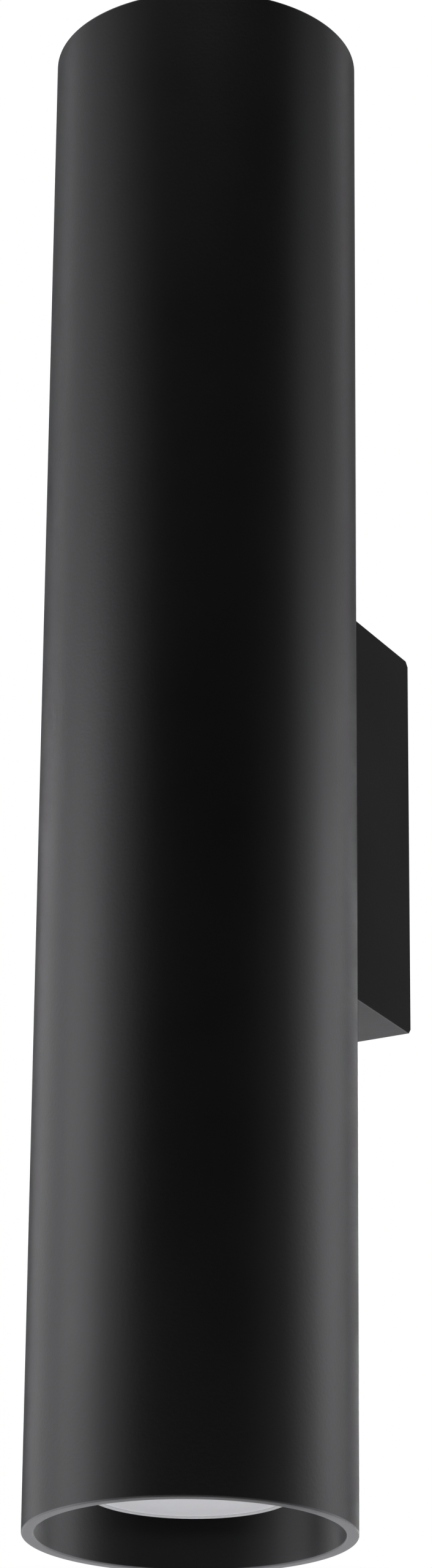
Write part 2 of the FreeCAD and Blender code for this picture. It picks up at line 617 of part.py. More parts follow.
def make_lamp_pins():
    """Two headed pins that lock behind the lampholder's ledge."""
    shank = PIN_SHANK_DIAMETER / 2
    head = PIN_HEAD_DIAMETER / 2
    head_start = -(LAMP_LENGTH + PIN_LENGTH - PIN_HEAD_LENGTH)
    end = -(LAMP_LENGTH + PIN_LENGTH)
    edge = PIN_HEAD_CHAMFER
    pin = revolved([(0, -LAMP_LENGTH), (shank, -LAMP_LENGTH), (shank, head_start), (head, head_start),
                    (head, end + edge), (head - edge, end), (0, end)])
    pins = []
    for angle in pin_angles():
        one = pin.copy()
        one.translate(Vector(PIN_SPACING / 2, 0, 0))
        one.rotate(Vector(0, 0, 0), Vector(0, 0, 1), angle)
        pins.append(one)
    return group(pins)


# ---- wall bracket and what it carries ------------------------------------------------------
def make_wall_bracket():
    """Steel strap with an ear bent forward at each end, tapped for the locking screws."""
    half = STRAP_WIDTH / 2
    bracket = block(-half, half, -STRAP_SHEET, 0, -EAR_TOP, EAR_TOP)
    for sign in (-1, 1):
        low, high = sorted((sign * EAR_TOP, sign * (EAR_TOP - STRAP_SHEET)))
        ear = block(-half, half, -EAR_DEPTH, 0, low, high)
        corners = [edge for edge in ear.Edges
                   if abs(edge.Length - STRAP_SHEET) < 1e-6 and edge.BoundBox.YMax < -EAR_DEPTH / 2]
        bracket = bracket.fuse(ear.makeFillet(STRAP_CORNER_RADIUS, corners))
    bracket = bracket.removeSplitter()
    bends = [edge for edge in bracket.Edges
             if abs(edge.Length - STRAP_WIDTH) < 1e-6 and edge.BoundBox.YMin > -1e-6]
    bracket = bracket.makeFillet(min(STRAP_BEND_RADIUS, 0.9 * STRAP_SHEET), bends)
    tapped = LOCKING_THREAD / 2 + THREAD_GAP
    locking_line = Vector(0, -LOCKING_SETBACK, -BIG), Vector(0, -LOCKING_SETBACK, BIG)
    bracket = bracket.cut(rod(tapped, *locking_line))
    for z in (-WALL_SLOT_SPACING / 2, WALL_SLOT_SPACING / 2):
        bracket = bracket.cut(slot_along_z(0, z, WALL_SLOT_LENGTH, WALL_SLOT_WIDTH, -STRAP_SHEET, 0))
    cuts = [(CABLE_HOLE_DIAMETER / 2 + BUSH_GAP, 0, CABLE_HOLE_Z),
            (EARTH_THREAD / 2 + THREAD_GAP, EARTH_X, EARTH_Z),
            (BLOCK_SCREW_THREAD / 2 + THREAD_GAP, block_screw_x(), block_middle())]
    for radius, x, z in cuts:
        bracket = bracket.cut(rod(radius, Vector(x, -STRAP_SHEET, z), Vector(x, 0, z)))
    return bracket


def make_cable_bush():
    """Rubber bush round the supply cable's hole. Its lip lies on the strap's front only."""
    start = Vector(0, 0, CABLE_HOLE_Z)
    face = Vector(0, STRAP_FRONT, CABLE_HOLE_Z)
    end = face - Vector(0, BUSH_LIP_THICKNESS, 0)
    bush = rod(CABLE_HOLE_DIAMETER / 2, start, face).fuse(rod(CABLE_HOLE_DIAMETER / 2 + BUSH_LIP, face, end))
    return bush.removeSplitter().cut(rod(CABLE_BORE_DIAMETER / 2, start, end))


def make_locking_screws():
    return group(pan_screw(LOCKING_THREAD, LOCKING_LENGTH, Vector(0, -LOCKING_SETBACK, sign * BOX_TOP),
                           (0, 0, -sign)) for sign in (-1, 1))


def pole_places():
    """Pole centres across the block: live, earth and neutral."""
    return (-POLE_PITCH, 0.0, POLE_PITCH)


def block_middle():
    return BLOCK_BOTTOM_Z + BLOCK_LENGTH / 2


def block_screw_x():
    return POLE_PITCH / 2


def pole_screw_heights():
    quarter = BLOCK_LENGTH / 4
    return (block_middle() - quarter, block_middle() + quarter)


def make_terminal_block():
    """Moulded three-pole connector: rounded screw towers over a wire bore for each pole."""
    half = 1.5 * POLE_PITCH
    top = BLOCK_BOTTOM_Z + BLOCK_LENGTH
    shoulder = BLOCK_FRONT + BLOCK_SHOULDER
    body = block(-half, half, shoulder, STRAP_FRONT, BLOCK_BOTTOM_Z, top)
    for x in pole_places():
        for z in pole_screw_heights():
            body = body.fuse(rod(BLOCK_TOWER_DIAMETER / 2, Vector(x, shoulder, z), Vector(x, BLOCK_FRONT, z)))
    body = body.removeSplitter()
    middle = block_middle()
    pocket = CLAMP_SIDE / 2 + CLAMP_GAP
    pocket_reach = CLAMP_LENGTH / 2 + CLAMP_GAP
    for x in pole_places():
        bore_line = Vector(x, CLAMP_Y, BLOCK_BOTTOM_Z), Vector(x, CLAMP_Y, top)
        body = body.cut(rod(CLAMP_BORE / 2 + CLAMP_GAP, *bore_line))
        body = body.cut(block(x - pocket, x + pocket, CLAMP_Y - pocket, CLAMP_Y + pocket,
                              middle - pocket_reach, middle + pocket_reach))
        for z in pole_screw_heights():
            grub_line = Vector(x, BLOCK_FRONT, z), Vector(x, CLAMP_Y, z)
            body = body.cut(rod(GRUB_DIAMETER / 2 + CLAMP_GAP, *grub_line))
    hole = (BLOCK_SCREW_THREAD + CLEARANCE_HOLE) / 2
    x = block_screw_x()
    groove = POLE_PITCH / 2 - CLAMP_SIDE / 2 - 2 * CLAMP_GAP
    for divide in (-block_screw_x(), block_screw_x()):
        body = body.cut(block(divide - groove / 2, divide + groove / 2, shoulder,
                              shoulder + BLOCK_GROOVE_DEPTH, BLOCK_BOTTOM_Z, top))
    return body.cut(rod(hole, Vector(x, BLOCK_FRONT, middle), Vector(x, STRAP_FRONT, middle)))


def make_terminal_clamps():
    """Brass sleeves inside the block, each tapped for two wire screws."""
    half = CLAMP_SIDE / 2
    middle = block_middle()
    z0, z1 = middle - CLAMP_LENGTH / 2, middle + CLAMP_LENGTH / 2
    clamps = []
    for x in pole_places():
        clamp = block(x - half, x + half, CLAMP_Y - half, CLAMP_Y + half, z0, z1)
        clamp = clamp.cut(rod(CLAMP_BORE / 2, Vector(x, CLAMP_Y, z0), Vector(x, CLAMP_Y, z1)))
        for z in pole_screw_heights():
            clamp = clamp.cut(rod(GRUB_DIAMETER / 2 + THREAD_GAP, Vector(x, CLAMP_Y, z),
                                  Vector(x, CLAMP_Y - half, z)))
        clamps.append(clamp)
    return group(clamps)


def make_terminal_screws():
    """Six slotted grub screws that bear on the wires inside the brass sleeves."""
    tip_y = CLAMP_Y - WIRE_DIAMETER / 2 - WIRE_GAP
    head_y = BLOCK_FRONT + GRUB_DEPTH
    screws = []
    for x in pole_places():
        for z in pole_screw_heights():
            grub = rod(GRUB_DIAMETER / 2, Vector(x, tip_y, z), Vector(x, head_y, z))
            slot = block(x - BIG, x + BIG, head_y, head_y + GRUB_SLOT_DEPTH,
                         z - GRUB_SLOT_WIDTH / 2, z + GRUB_SLOT_WIDTH / 2)
            screws.append(grub.cut(slot))
    return group(screws)


def make_block_screw():
    seat = Vector(block_screw_x(), BLOCK_FRONT + BLOCK_SHOULDER, block_middle())
    length = BLOCK_HEIGHT - BLOCK_SHOULDER + STRAP_SHEET - SCREW_END_SETBACK
    return pan_screw(BLOCK_SCREW_THREAD, length, seat, (0, 1, 0), BLOCK_HEAD_RATIO)


def make_earth_screw():
    seat = Vector(EARTH_X, STRAP_FRONT - LUG_THICKNESS, EARTH_Z)
    return pan_screw(EARTH_THREAD, LUG_THICKNESS + STRAP_SHEET - SCREW_END_SETBACK, seat, (0, 1, 0))


def lug_barrel_radius():
    return WIRE_DIAMETER / 2 + THREAD_GAP + LUG_BARREL_WALL


def lug_barrel_start(thread):
    """Height of the barrel's lower end above the screw's axis."""
    return thread * LUG_RING_RATIO / 2 + LUG_NECK_LENGTH


def make_lug(thread, x, face_y, z):
    """Flat part of a ring lug, and the height at which its barrel starts to stand up along +Z."""
    line = Vector(x, face_y, z), Vector(x, face_y + LUG_THICKNESS, z)
    low = z + lug_barrel_start(thread)
    side = lug_barrel_radius() * LUG_NECK_RATIO
    neck = block(x - side, x + side, face_y, face_y + LUG_THICKNESS, z, low + LUG_NECK_LAP)
    lug = rod(thread * LUG_RING_RATIO / 2, *line).fuse(neck).removeSplitter()
    return lug.cut(rod((thread + CLEARANCE_HOLE) / 2, *line)), low


def make_earth_lugs():
    """Ring lugs under the lower fixing screw and under the bracket's earth screw."""
    radius = lug_barrel_radius()
    lugs = []
    for thread, x, face_y, z, axis_y in earth_lug_places():
        flat, low = make_lug(thread, x, face_y, z)
        start, end = Vector(x, axis_y, low), Vector(x, axis_y, low + LUG_BARREL_LENGTH)
        lug = flat.fuse(rod(radius, start, end)).removeSplitter()
        lugs.append(lug.cut(rod(WIRE_DIAMETER / 2 + THREAD_GAP, start, end)))
    return group(lugs)


def earth_lug_places():
    """Thread, X, low face Y, Z and barrel axis Y of each lug: tube lug, then bracket lug."""
    tube_face = BOX_INSIDE_FRONT + WASHER_THICKNESS
    strap_face = STRAP_FRONT - LUG_THICKNESS
    radius = lug_barrel_radius()
    return [(FIXING_THREAD, 0.0, tube_face, -FIXING_SPACING / 2, tube_face + radius),
            (EARTH_THREAD, EARTH_X, strap_face, EARTH_Z, STRAP_FRONT - radius)]


# ---- wires: points chosen by hand between their two ends -----------------------------------
def lamp_wire_points(end, side):
    """From a lampholder contact, down the tube, through the bush and up into the block."""
    sign = 1 if end == "upper" else -1
    socket_x = side * PIN_SPACING / 2
    pole = side * POLE_PITCH + sign * side * WIRE_PACK
    through = sign * WIRE_PACK
    return [(socket_x, AXIS_Y, sign * (LAMP_FACE + HOLDER_BACK)),
            (socket_x, AXIS_Y, sign * SOCKET_RUN_END_Z),
            (side * WIRE_PACK, WEB_INSIDE - WIRE_TURN_DEPTH, through),
            (side * WIRE_PACK, BOX_INSIDE_FRONT + BUSH_RUN_LENGTH, through),
            (pole, CLAMP_Y, through),
            (pole, CLAMP_Y, WIRE_END_Z)]


def earth_wire_points(which):
    """From the block's middle pole down to a ring lug."""
    thread, x, face_y, z, axis_y = earth_lug_places()[0 if which == "tube" else 1]
    bend_z = TUBE_EARTH_BEND_Z if which == "tube" else BRACKET_EARTH_BEND_Z
    start_x = -WIRE_PACK if which == "tube" else WIRE_PACK
    return [(start_x, CLAMP_Y, WIRE_END_Z),
            (start_x, CLAMP_Y, bend_z[0]),
            (x, axis_y, bend_z[1]),
            (x, axis_y, z + lug_barrel_start(thread) + WIRE_IN_LUG)]


def make_wires():
    wires = {}
    for end in ("upper", "lower"):
        for side, name in ((-1, "live"), (1, "neutral")):
            wires[f"{end}_{name}_wire"] = lamp_wire_points(end, side)
    wires["tube_earth_wire"] = earth_wire_points("tube")
    wires["bracket_earth_wire"] = earth_wire_points("bracket")
    shapes = {}
    for name, points in wires.items():
        solid, radii, length, share = wire(points)
        print(f"{name}: length {length:.1f}, arc radii {radii}, volume share {share:.4f}")
        shapes[name] = solid
    return shapes


# ---- the whole light -----------------------------------------------------------------------
def build():
    nodes = {
        "tube": make_tube(),
        "wall_box": make_wall_box(),
        "wire_bush": make_wire_bush(),
        "fixing_screws": make_fixing_screws(),
        "fixing_washers": make_fixing_washers(),
        "lamp_carrier": make_carrier(),
        "carrier_weld_nuts": make_weld_nuts(),
        "wall_bracket": make_wall_bracket(),
        "cable_bush": make_cable_bush(),
        "locking_screws": make_locking_screws(),
        "terminal_block": make_terminal_block(),
        "terminal_clamps": make_terminal_clamps(),
        "terminal_screws": make_terminal_screws(),
        "terminal_block_screw": make_block_screw(),
        "earth_screw": make_earth_screw(),
        "earth_lugs": make_earth_lugs(),
    }
    nodes.update(make_wires())
    at_each_mouth = {
        "lampholder_body": make_holder_body(),
        "lampholder_cover": make_holder_cover(),
        "lampholder_contacts": make_contacts(),
        "lampholder_screws": make_holder_screws(),
        "lamp_housing": make_lamp_housing(),
        "lamp_lens": make_lamp_lens(),
        "lamp_led_board": make_led_board(),
        "lamp_led_chips": make_led_chips(),
        "lamp_driver_board": make_driver_board(),
        "lamp_base": make_lamp_base(),
        "lamp_pins": make_lamp_pins(),
    }
    for end in ("upper", "lower"):
        for name, shape in at_each_mouth.items():
            nodes[f"{end}_{name}"] = at_mouth(shape, end)
    return nodes


def export(nodes):
    os.makedirs("parts", exist_ok=True)
    for name, shape in nodes.items():
        if not shape.isValid() or any(solid.Volume <= 0 for solid in shape.Solids) or not shape.Solids:
            raise RuntimeError(f"{name} isn't a set of sound solids")
        shape.exportStep(os.path.join("parts", name + ".step"))
    print(len(nodes), "nodes,", sum(len(shape.Solids) for shape in nodes.values()), "solids")


export(build())
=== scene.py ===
import json
import math

import bmesh
import bpy
from mathutils import Matrix, Vector


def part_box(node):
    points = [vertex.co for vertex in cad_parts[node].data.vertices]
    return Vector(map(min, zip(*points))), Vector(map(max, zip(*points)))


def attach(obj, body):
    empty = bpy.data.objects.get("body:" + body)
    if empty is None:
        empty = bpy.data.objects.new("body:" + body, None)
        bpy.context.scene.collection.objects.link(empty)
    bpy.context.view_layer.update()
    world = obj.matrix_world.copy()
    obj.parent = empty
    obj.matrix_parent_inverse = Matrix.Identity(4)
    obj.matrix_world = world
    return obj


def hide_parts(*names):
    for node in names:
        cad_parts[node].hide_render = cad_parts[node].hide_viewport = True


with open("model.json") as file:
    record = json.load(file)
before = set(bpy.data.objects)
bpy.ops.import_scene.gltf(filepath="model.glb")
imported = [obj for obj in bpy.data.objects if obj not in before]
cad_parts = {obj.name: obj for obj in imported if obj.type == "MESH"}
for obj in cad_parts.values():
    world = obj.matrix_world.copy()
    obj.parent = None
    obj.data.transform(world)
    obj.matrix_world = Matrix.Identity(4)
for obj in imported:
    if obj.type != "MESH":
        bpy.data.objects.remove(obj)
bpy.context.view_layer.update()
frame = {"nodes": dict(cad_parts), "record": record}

bl_info = {
    "name": "Tube wall light",
    "version": (1, 0, 0),
    "blender": (4, 5, 0),
    "location": "3D View > Sidebar > Wall light",
    "description": "Dresses an up-and-down tube wall light and lights it for a portrait",
    "category": "Add Mesh",
}

# Everything is in metres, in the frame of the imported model: the wall is the plane y = 0, and the
# light stands out of it towards -y, with its tube upright along z.
ENDS = ("upper", "lower")
MICRON = 1e-6
MERGE_DISTANCE = MICRON
SMOOTH_ANGLE = math.radians(32)
HARD_ANGLE = math.radians(50)

# Facets round the floor, round a hole or a screw, across each kind of rounding, and from the
# middle of a dome to its edge.
FLOOR_STEPS = 128
HOLE_STEPS = 64
BEND_STEPS = 5
RIM_STEPS = 4
MOULDED_STEPS = 2
DOME_STEPS = 8

TUBE_LOW, TUBE_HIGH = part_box("tube")
BOX_LOW, BOX_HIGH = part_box("wall_box")
TUBE_RADIUS = TUBE_HIGH.x
AXIS = Vector((0.0, BOX_LOW.y - TUBE_RADIUS, 0.0))
TUBE_HALF = (TUBE_HIGH.z - TUBE_LOW.z) / 2
LAMP_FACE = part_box("upper_lamp_housing")[1].z
LAMP_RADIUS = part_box("upper_lamp_housing")[1].x
LAMP_NECK_DEPTH = LAMP_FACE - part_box("upper_lamp_housing")[0].z

# Which way from the tube's axis, in x and y, the coat lies thickest on its cut ends and keeps them
# dark:
# this dark side is painted shade, and the paler rest of the cut ends is a painted highlight.
SHADED_RIM_SIDE = Vector((0.6, -0.8))

# Soft side lights: turn from the camera in degrees, height over the light's middle in metres,
# power in watts. They give the tube its long soft reflections and shine through it, so its bore
# gets them too.
SIDE_LIGHTS = (
    (-130.0, 0.45, 11.0),
    (-130.0, 1.80, 5.0),
    (-85.0, 0.45, 26.0),
    (-60.0, 0.45, 7.0),
    (60.0, 0.45, 2.5),
    (90.0, 0.45, 15.5),
    (90.0, 1.80, 6.0),
    (110.0, 0.45, 22.5),
    (130.0, 1.80, 5.0),
    (150.0, 0.45, 5.8),
)


# ---- settings -------------------------------------------------------------------------------
def length(name, description, default):
    return bpy.props.FloatProperty(name=name, description=description, default=default,
                                   min=0.0, unit="LENGTH", precision=5)


def colour(name, description, default):
    return bpy.props.FloatVectorProperty(name=name, description=description, default=default,
                                         size=3, min=0.0, max=1.0, subtype="COLOR")


def share(name, description, default, highest=1.0):
    return bpy.props.FloatProperty(name=name, description=description, default=default,
                                   min=0.0, max=highest)


def angle(name, description, default):
    return bpy.props.FloatProperty(name=name, description=description,
                                   default=math.radians(default), unit="ROTATION")


class FixtureSizes(bpy.types.PropertyGroup):
    tube_wall: length("Tube wall", "Thickness of the extruded tube", 0.003)
    rim_rounding: length("Rim rounding", "Rounding of the tube's cut ends under the coat", 0.00035)
    tube_steps: bpy.props.IntProperty(name="Tube steps", description="Facets round the tube",
                                      default=256, min=16)
    box_sheet: length("Box sheet", "Thickness of the wall box's steel sheet", 0.0015)
    box_bend: length("Box bend", "Outer radius of the box's bends", 0.001)
    box_back_bend: length("Back bend", "Rounding of the box's two edges at the wall", 0.0013)
    fixing_hole: length("Fixing hole", "Diameter of the two fixing holes", 0.0055)
    fixing_spacing: length("Fixing spacing", "Between the two fixing holes", 0.060)
    bush_hole: length("Bush hole", "Diameter of the hole for the wire bush", 0.0101)
    locking_hole: length("Locking hole", "Diameter of the locking screws' holes", 0.0045)
    locking_setback: length("Locking setback", "Locking screws in front of the wall", 0.008)
    screw_head: length("Screw head", "Locking screw's head across", 0.0074)
    screw_height: length("Screw head height", "Locking screw's head height", 0.00248)
    screw_thread: length("Screw thread", "Locking screw's thread", 0.004)
    screw_length: length("Screw length", "Locking screw below its head", 0.0065)
    cross_reach: length("Cross reach", "Half length of the cross recess", 0.00185)
    cross_blade: length("Cross blade", "Half width of the cross recess", 0.00036)
    cross_depth: length("Cross depth", "Depth of the cross recess", 0.0015)


class LampSizes(bpy.types.PropertyGroup):
    rim_height: length("Rim height", "Straight rim of the lamp's cup", 0.006)
    shell: length("Shell", "Wall of the cup", 0.0014)
    ledge: length("Ledge", "Ledge that carries the diffuser", 0.0012)
    neck_radius: length("Neck radius", "Cup where it meets the base", 0.0142)
    board_depth: length("Board depth", "Seat of the board behind the face", 0.008)
    board_ledge: length("Board ledge", "Width of that seat", 0.0016)
    plug_height: length("Plug height", "Straight bore at the neck", 0.003)
    lens_setback: length("Diffuser setback", "Diffuser behind the rim", 0.0002)
    lens_thickness: length("Diffuser thickness", "Frosted disc", 0.0018)
    lens_gap: length("Diffuser gap", "Between the disc and the rim", 0.00004)
    lens_dome: length("Diffuser dome", "Rise of the disc's middle", 0.00015)
    lens_edge: length("Diffuser edge", "Bevel at the disc's edge", 0.00012)
    fin_count: bpy.props.IntProperty(name="Fins", description="Cooling fins round the cup",
                                     default=12, min=3)
    fin_steps: bpy.props.IntProperty(name="Fin steps", description="Facets across one fin",
                                     default=2, min=1)
    pitch_steps: bpy.props.IntProperty(name="Pitch steps", description="Facets from fin to fin",
                                       default=16, min=4)
    fin_height: length("Fin height", "How far a fin stands out of the cup", 0.0013)
    fin_start: length("Fin start", "Fins begin this far below the rim", 0.001)
    fin_end: length("Fin end", "Fins end this far above the neck", 0.0026)
    edge_rounding: length("Edge rounding", "Rounding of the moulded edges", 0.00015)


class FinishColours(bpy.types.PropertyGroup):
    coat: colour("Coat", "The tube's black powder coat", (0.0022, 0.0022, 0.0025))
    box_coat: colour("Box coat", "The wall box's slightly paler black", (0.0150, 0.0150, 0.0158))
    coat_edge: colour("Coat edge", "Where the coat is thin and rubbed", (0.045, 0.045, 0.048))
    # Painted highlight: the cut ends' pale grey is partly a thinly laid coat and partly painted
    # light that the rim catches.
    coat_thin_and_lit: colour("Thin coat", "Where the coat is thinnest, on the cut ends",
                      (0.135, 0.135, 0.139))
    coat_dust: colour("Dust", "Fine dust that lies in the coat's texture", (0.030, 0.030, 0.031))
    zinc: colour("Zinc", "Bright zinc plating", (0.62, 0.63, 0.65))
    zinc_tint: colour("Zinc tint", "Passivation colour in the plating", (0.59, 0.61, 0.67))
    oxide: colour("Black oxide", "Blackened steel", (0.022, 0.022, 0.024))
    rubber: colour("Rubber", "Wire and cable bushes", (0.018, 0.018, 0.019))
    terminal: colour("Terminal", "Polyamide of the terminal block", (0.78, 0.77, 0.71))
    brass: colour("Brass", "Terminal clamps", (0.72, 0.53, 0.26))
    bronze: colour("Bronze", "Lampholder contacts", (0.68, 0.44, 0.24))
    tin: colour("Tin", "Tinned lugs", (0.66, 0.65, 0.62))
    nickel: colour("Nickel", "Lamp pins", (0.70, 0.67, 0.60))
    brown: colour("Live sleeve", "Brown insulation", (0.165, 0.062, 0.028))
    blue: colour("Neutral sleeve", "Blue insulation", (0.030, 0.130, 0.400))
    green: colour("Earth green", "Green of the earth insulation", (0.050, 0.300, 0.060))
    yellow: colour("Earth yellow", "Yellow of the earth insulation", (0.750, 0.560, 0.050))
    ceramic: colour("Ceramic", "Unglazed steatite", (0.76, 0.73, 0.66))
    iron: colour("Iron", "Iron specks in the ceramic", (0.30, 0.22, 0.15))
    lamp: colour("Lamp", "White lamp plastic", (0.62, 0.62, 0.62))
    diffuser: colour("Diffuser", "Frosted disc", (0.68, 0.68, 0.69))
    board: colour("Board", "White solder mask", (0.80, 0.81, 0.79))
    track: colour("Track", "Copper that shows through the white mask", (0.66, 0.64, 0.55))
    flux: colour("Flux", "Dull flux marks on the board", (0.62, 0.55, 0.38))
    phosphor: colour("Phosphor", "Gel over the chips", (0.80, 0.60, 0.14))
    laminate: colour("Laminate", "Green circuit board", (0.030, 0.160, 0.060))
    driver_parts: colour("Driver parts", "Capacitor's sleeve and choke", (0.020, 0.021, 0.026))
    floor: colour("Floor", "Pale studio floor", (0.80, 0.80, 0.80))


class StageSettings(bpy.types.PropertyGroup):
    camera_place: bpy.props.FloatVectorProperty(
        name="Camera", description="Where the camera stands", size=3, unit="LENGTH",
        default=(0.5113, -1.0067, -0.4439))
    camera_heading: angle("Heading", "Camera's turn from +x towards +y", 118.645)
    camera_pitch: angle("Pitch", "How far the camera looks up", 22.3945)
    camera_roll: angle("Roll", "Camera's tilt to the side", 0.5321)
    camera_lens: bpy.props.FloatProperty(name="Lens", description="Focal length in millimetres",
                                         default=104.165, unit="CAMERA")
    floor_drop: length("Floor drop", "Floor below the light's middle", 0.6)
    floor_radius: length("Floor radius", "Round studio floor", 14.0)
    glow_turn: angle("Glow turn", "Middle of the studio's glow, turned from the camera", -87.0)
    glow_reach: angle("Glow reach", "How far to each side the glow fades out", 60.0)
    glow_low: angle("Glow low", "Height above the horizon where the glow is full", 8.0)
    glow_high: angle("Glow high", "Height where it has faded", 56.0)
    glow: share("Glow", "Brightness of the studio's glow", 2.6, 8.0)
    room: share("Room", "Brightness of the rest of the studio", 0.09)
    tint: colour("Tint", "Faint cool tint of the studio's light", (0.975, 0.97, 1.0))
    backdrop: share("Backdrop", "Brightness of the backdrop in the picture", 1.0, 8.0)
    side_distance: length("Side distance", "From the tube to the side lights", 3.0)
    side_width: length("Side width", "Width of a side light", 1.7)
    side_height: length("Side height", "Height of a side light", 1.5)
    overhead: bpy.props.FloatProperty(name="Overhead", description="Strength of the light above",
                                      default=3.0, min=0.0)
    overhead_spread: angle("Overhead spread", "How wide the light above is, seen from below", 15.0)


# ---- shader sums ----------------------------------------------------------------------------
class Value:
    """A shader socket that takes part in Python sums: each operator adds its Math node."""

    def __init__(self, tree, socket):
        self.tree = tree
        self.socket = socket

    def __add__(self, other):
        return self.tree.math("ADD", self, other)

    def __radd__(self, other):
        return self.tree.math("ADD", other, self)

    def __sub__(self, other):
        return self.tree.math("SUBTRACT", self, other)

    def __rsub__(self, other):
        return self.tree.math("SUBTRACT", other, self)

    def __mul__(self, other):
        return self.tree.math("MULTIPLY", self, other)

    def __rmul__(self, other):
        return self.tree.math("MULTIPLY", other, self)

    def __truediv__(self, other):
        return self.tree.math("DIVIDE", self, other)

    def __rtruediv__(self, other):
        return self.tree.math("DIVIDE", other, self)

    def __abs__(self):
        return self.tree.math("ABSOLUTE", self)

    def centred(self, reach):
        """A noise value brought to lie round 0, from -reach / 2 to reach / 2."""
        return (self - 0.5) * reach


class ShaderTree:
    """The nodes of one material or world."""

    def __init__(self, owner):
        owner.use_nodes = True
        self.nodes = owner.node_tree.nodes
        self.links = owner.node_tree.links
        self.nodes.clear()

    def node(self, kind, settings=None, inputs=None, output=0):
        """Adds a node. Its settings are set first, then the values or links of its sockets."""
        made = self.nodes.new(kind)
        for name, value in (settings or {}).items():
            setattr(made, name, value)
        for name, value in (inputs or {}).items():
            if isinstance(value, Value):
                self.links.new(value.socket, made.inputs[name])
            else:
                made.inputs[name].default_value = value
        return Value(self, made.outputs[output]) if len(made.outputs) else None

    def math(self, operation, *values):
        return self.node("ShaderNodeMath", {"operation": operation}, dict(enumerate(values)))

    def smallest(self, first, *others):
        for other in others:
            first = self.math("MINIMUM", first, other)
        return first

    def largest(self, first, *others):
        for other in others:
            first = self.math("MAXIMUM", first, other)
        return first

    def ramp(self, value, low, high, start=0.0, end=1.0):
        """Goes smoothly from start to end as value goes from low to high."""
        return self.node("ShaderNodeMapRange", {"interpolation_type": "SMOOTHSTEP"},
                         {"Value": value, "From Min": low, "From Max": high,
                          "To Min": start, "To Max": end})

    def flat_length(self, x, y):
        return self.math("SQRT", x * x + y * y)

    def mix(self, factor, first, second):
        """A colour between two, by a factor."""
        inputs = {0: factor}
        for place, tone in ((6, first), (7, second)):
            inputs[place] = tone if isinstance(tone, Value) else (*tone, 1.0)
        return self.node("ShaderNodeMix", {"data_type": "RGBA"}, inputs, output=2)

    def coordinates(self):
        return self.node("ShaderNodeTexCoord", output="Object")

    def axes(self, vector):
        """The x, y and z values of a vector."""
        parts = self.node("ShaderNodeSeparateXYZ", inputs={0: vector})
        outputs = parts.socket.node.outputs
        return [Value(self, outputs[k]) for k in range(3)]

    def noise(self, vector, scale, detail=2.0, roughness=0.5, distortion=0.0):
        """Cloudy noise from 0 to 1, whose clouds are about 1 / scale metres across."""
        return self.node("ShaderNodeTexNoise", inputs={
            "Vector": vector, "Scale": scale, "Detail": detail, "Roughness": roughness,
            "Distortion": distortion})

    def specks(self, vector, scale, edge, core):
        """Scattered specks, in cells of 1 / scale metres: 1 inside core and 0 outside edge."""
        cells = self.node("ShaderNodeTexVoronoi", inputs={"Vector": vector, "Scale": scale})
        return self.ramp(cells, edge, core)

    def mottled(self, pattern, tone, by, high=0.7):
        """A colour that goes darker or lighter, by a factor, where a noise is high."""
        return self.mix(self.ramp(pattern, 0.3, high), tone, shade(tone, by))

    def stretched(self, vector, stretch):
        """The same place with each axis scaled, for brushed and drawn marks."""
        return self.node("ShaderNodeMapping", inputs={"Vector": vector, "Scale": stretch})

    def surface(self, tone, roughness, height, lift, **fixed):
        """The finished surface. height raises it by up to lift metres; fixed values stay plain."""
        normal = self.node("ShaderNodeBump", inputs={
            "Strength": 1.0, "Distance": lift, "Height": height})
        inputs = {"Base Color": tone, "Roughness": roughness, "Normal": normal}
        inputs.update({name.replace("_", " "): value for name, value in fixed.items()})
        shader = self.node("ShaderNodeBsdfPrincipled", inputs=inputs)
        self.node("ShaderNodeOutputMaterial", inputs={"Surface": shader})


def shade(tone, by):
    """A colour made darker or lighter by a factor."""
    return [min(1.0, by * part) for part in tone]


def about_axis(tree):
    """A point's x and y from the tube's axis, its height, and its distance from the axis."""
    x, y, z = tree.axes(tree.coordinates())
    across = y - AXIS.y
    return x, across, z, tree.flat_length(x, across)


def second_smallest(tree, first, second, third):
    """The middle one of three distances: on a box's surface, how far the nearest edge is."""
    lowest = tree.smallest(first, second, third)
    highest = tree.largest(first, second, third)
    return first + second + third - lowest - highest


# ---- finishes -------------------------------------------------------------------------------
def colours():
    return bpy.context.scene.finish_colours


def powder_coat(tree, coat, edge, roughness, level, thin=None, peel=1100.0):
    """Satin powder coat: fine orange peel, rubbed edges, faint dust and handling marks.

    edge is how far the nearest edge is, in metres, and thin is 1 where the cut ends are painted
    pale:
    partly hardly any coat has stuck there, partly it is a painted highlight.
    """
    tones = colours()
    place = tree.coordinates()
    peel_height = tree.noise(place, peel, detail=2.0, roughness=0.45)
    grit = tree.noise(place, peel * 4.5, detail=1.0)
    cloud = tree.noise(place, 22.0, detail=3.0, roughness=0.6)
    handled = tree.ramp(tree.noise(place, 9.0, detail=4.0, distortion=0.4), 0.52, 0.72)
    specks = tree.specks(place, 900.0, edge=0.05, core=0.02)
    depth = tree.mix(tree.ramp(cloud, 0.3, 0.7), shade(coat, 0.85), shade(coat, 1.15))
    dusty = tree.mix(specks * 0.25 + handled * 0.05, depth, tones.coat_dust)
    rubbed = tree.ramp(edge + grit.centred(600 * MICRON), 550 * MICRON, 50 * MICRON)
    tone = tree.mix(rubbed * 0.4, dusty, tones.coat_edge)
    # Pale cut ends: partly a thinly laid coat, partly a painted highlight.
    if thin is not None:
        tone = tree.mix(thin, tone, tones.coat_thin_and_lit)
    rough = (roughness + cloud.centred(0.07) + grit.centred(0.06) - handled * 0.05
             - rubbed * 0.08)
    tree.surface(tone, rough, peel_height + grit * 0.35, 22 * MICRON, Specular_IOR_Level=level)


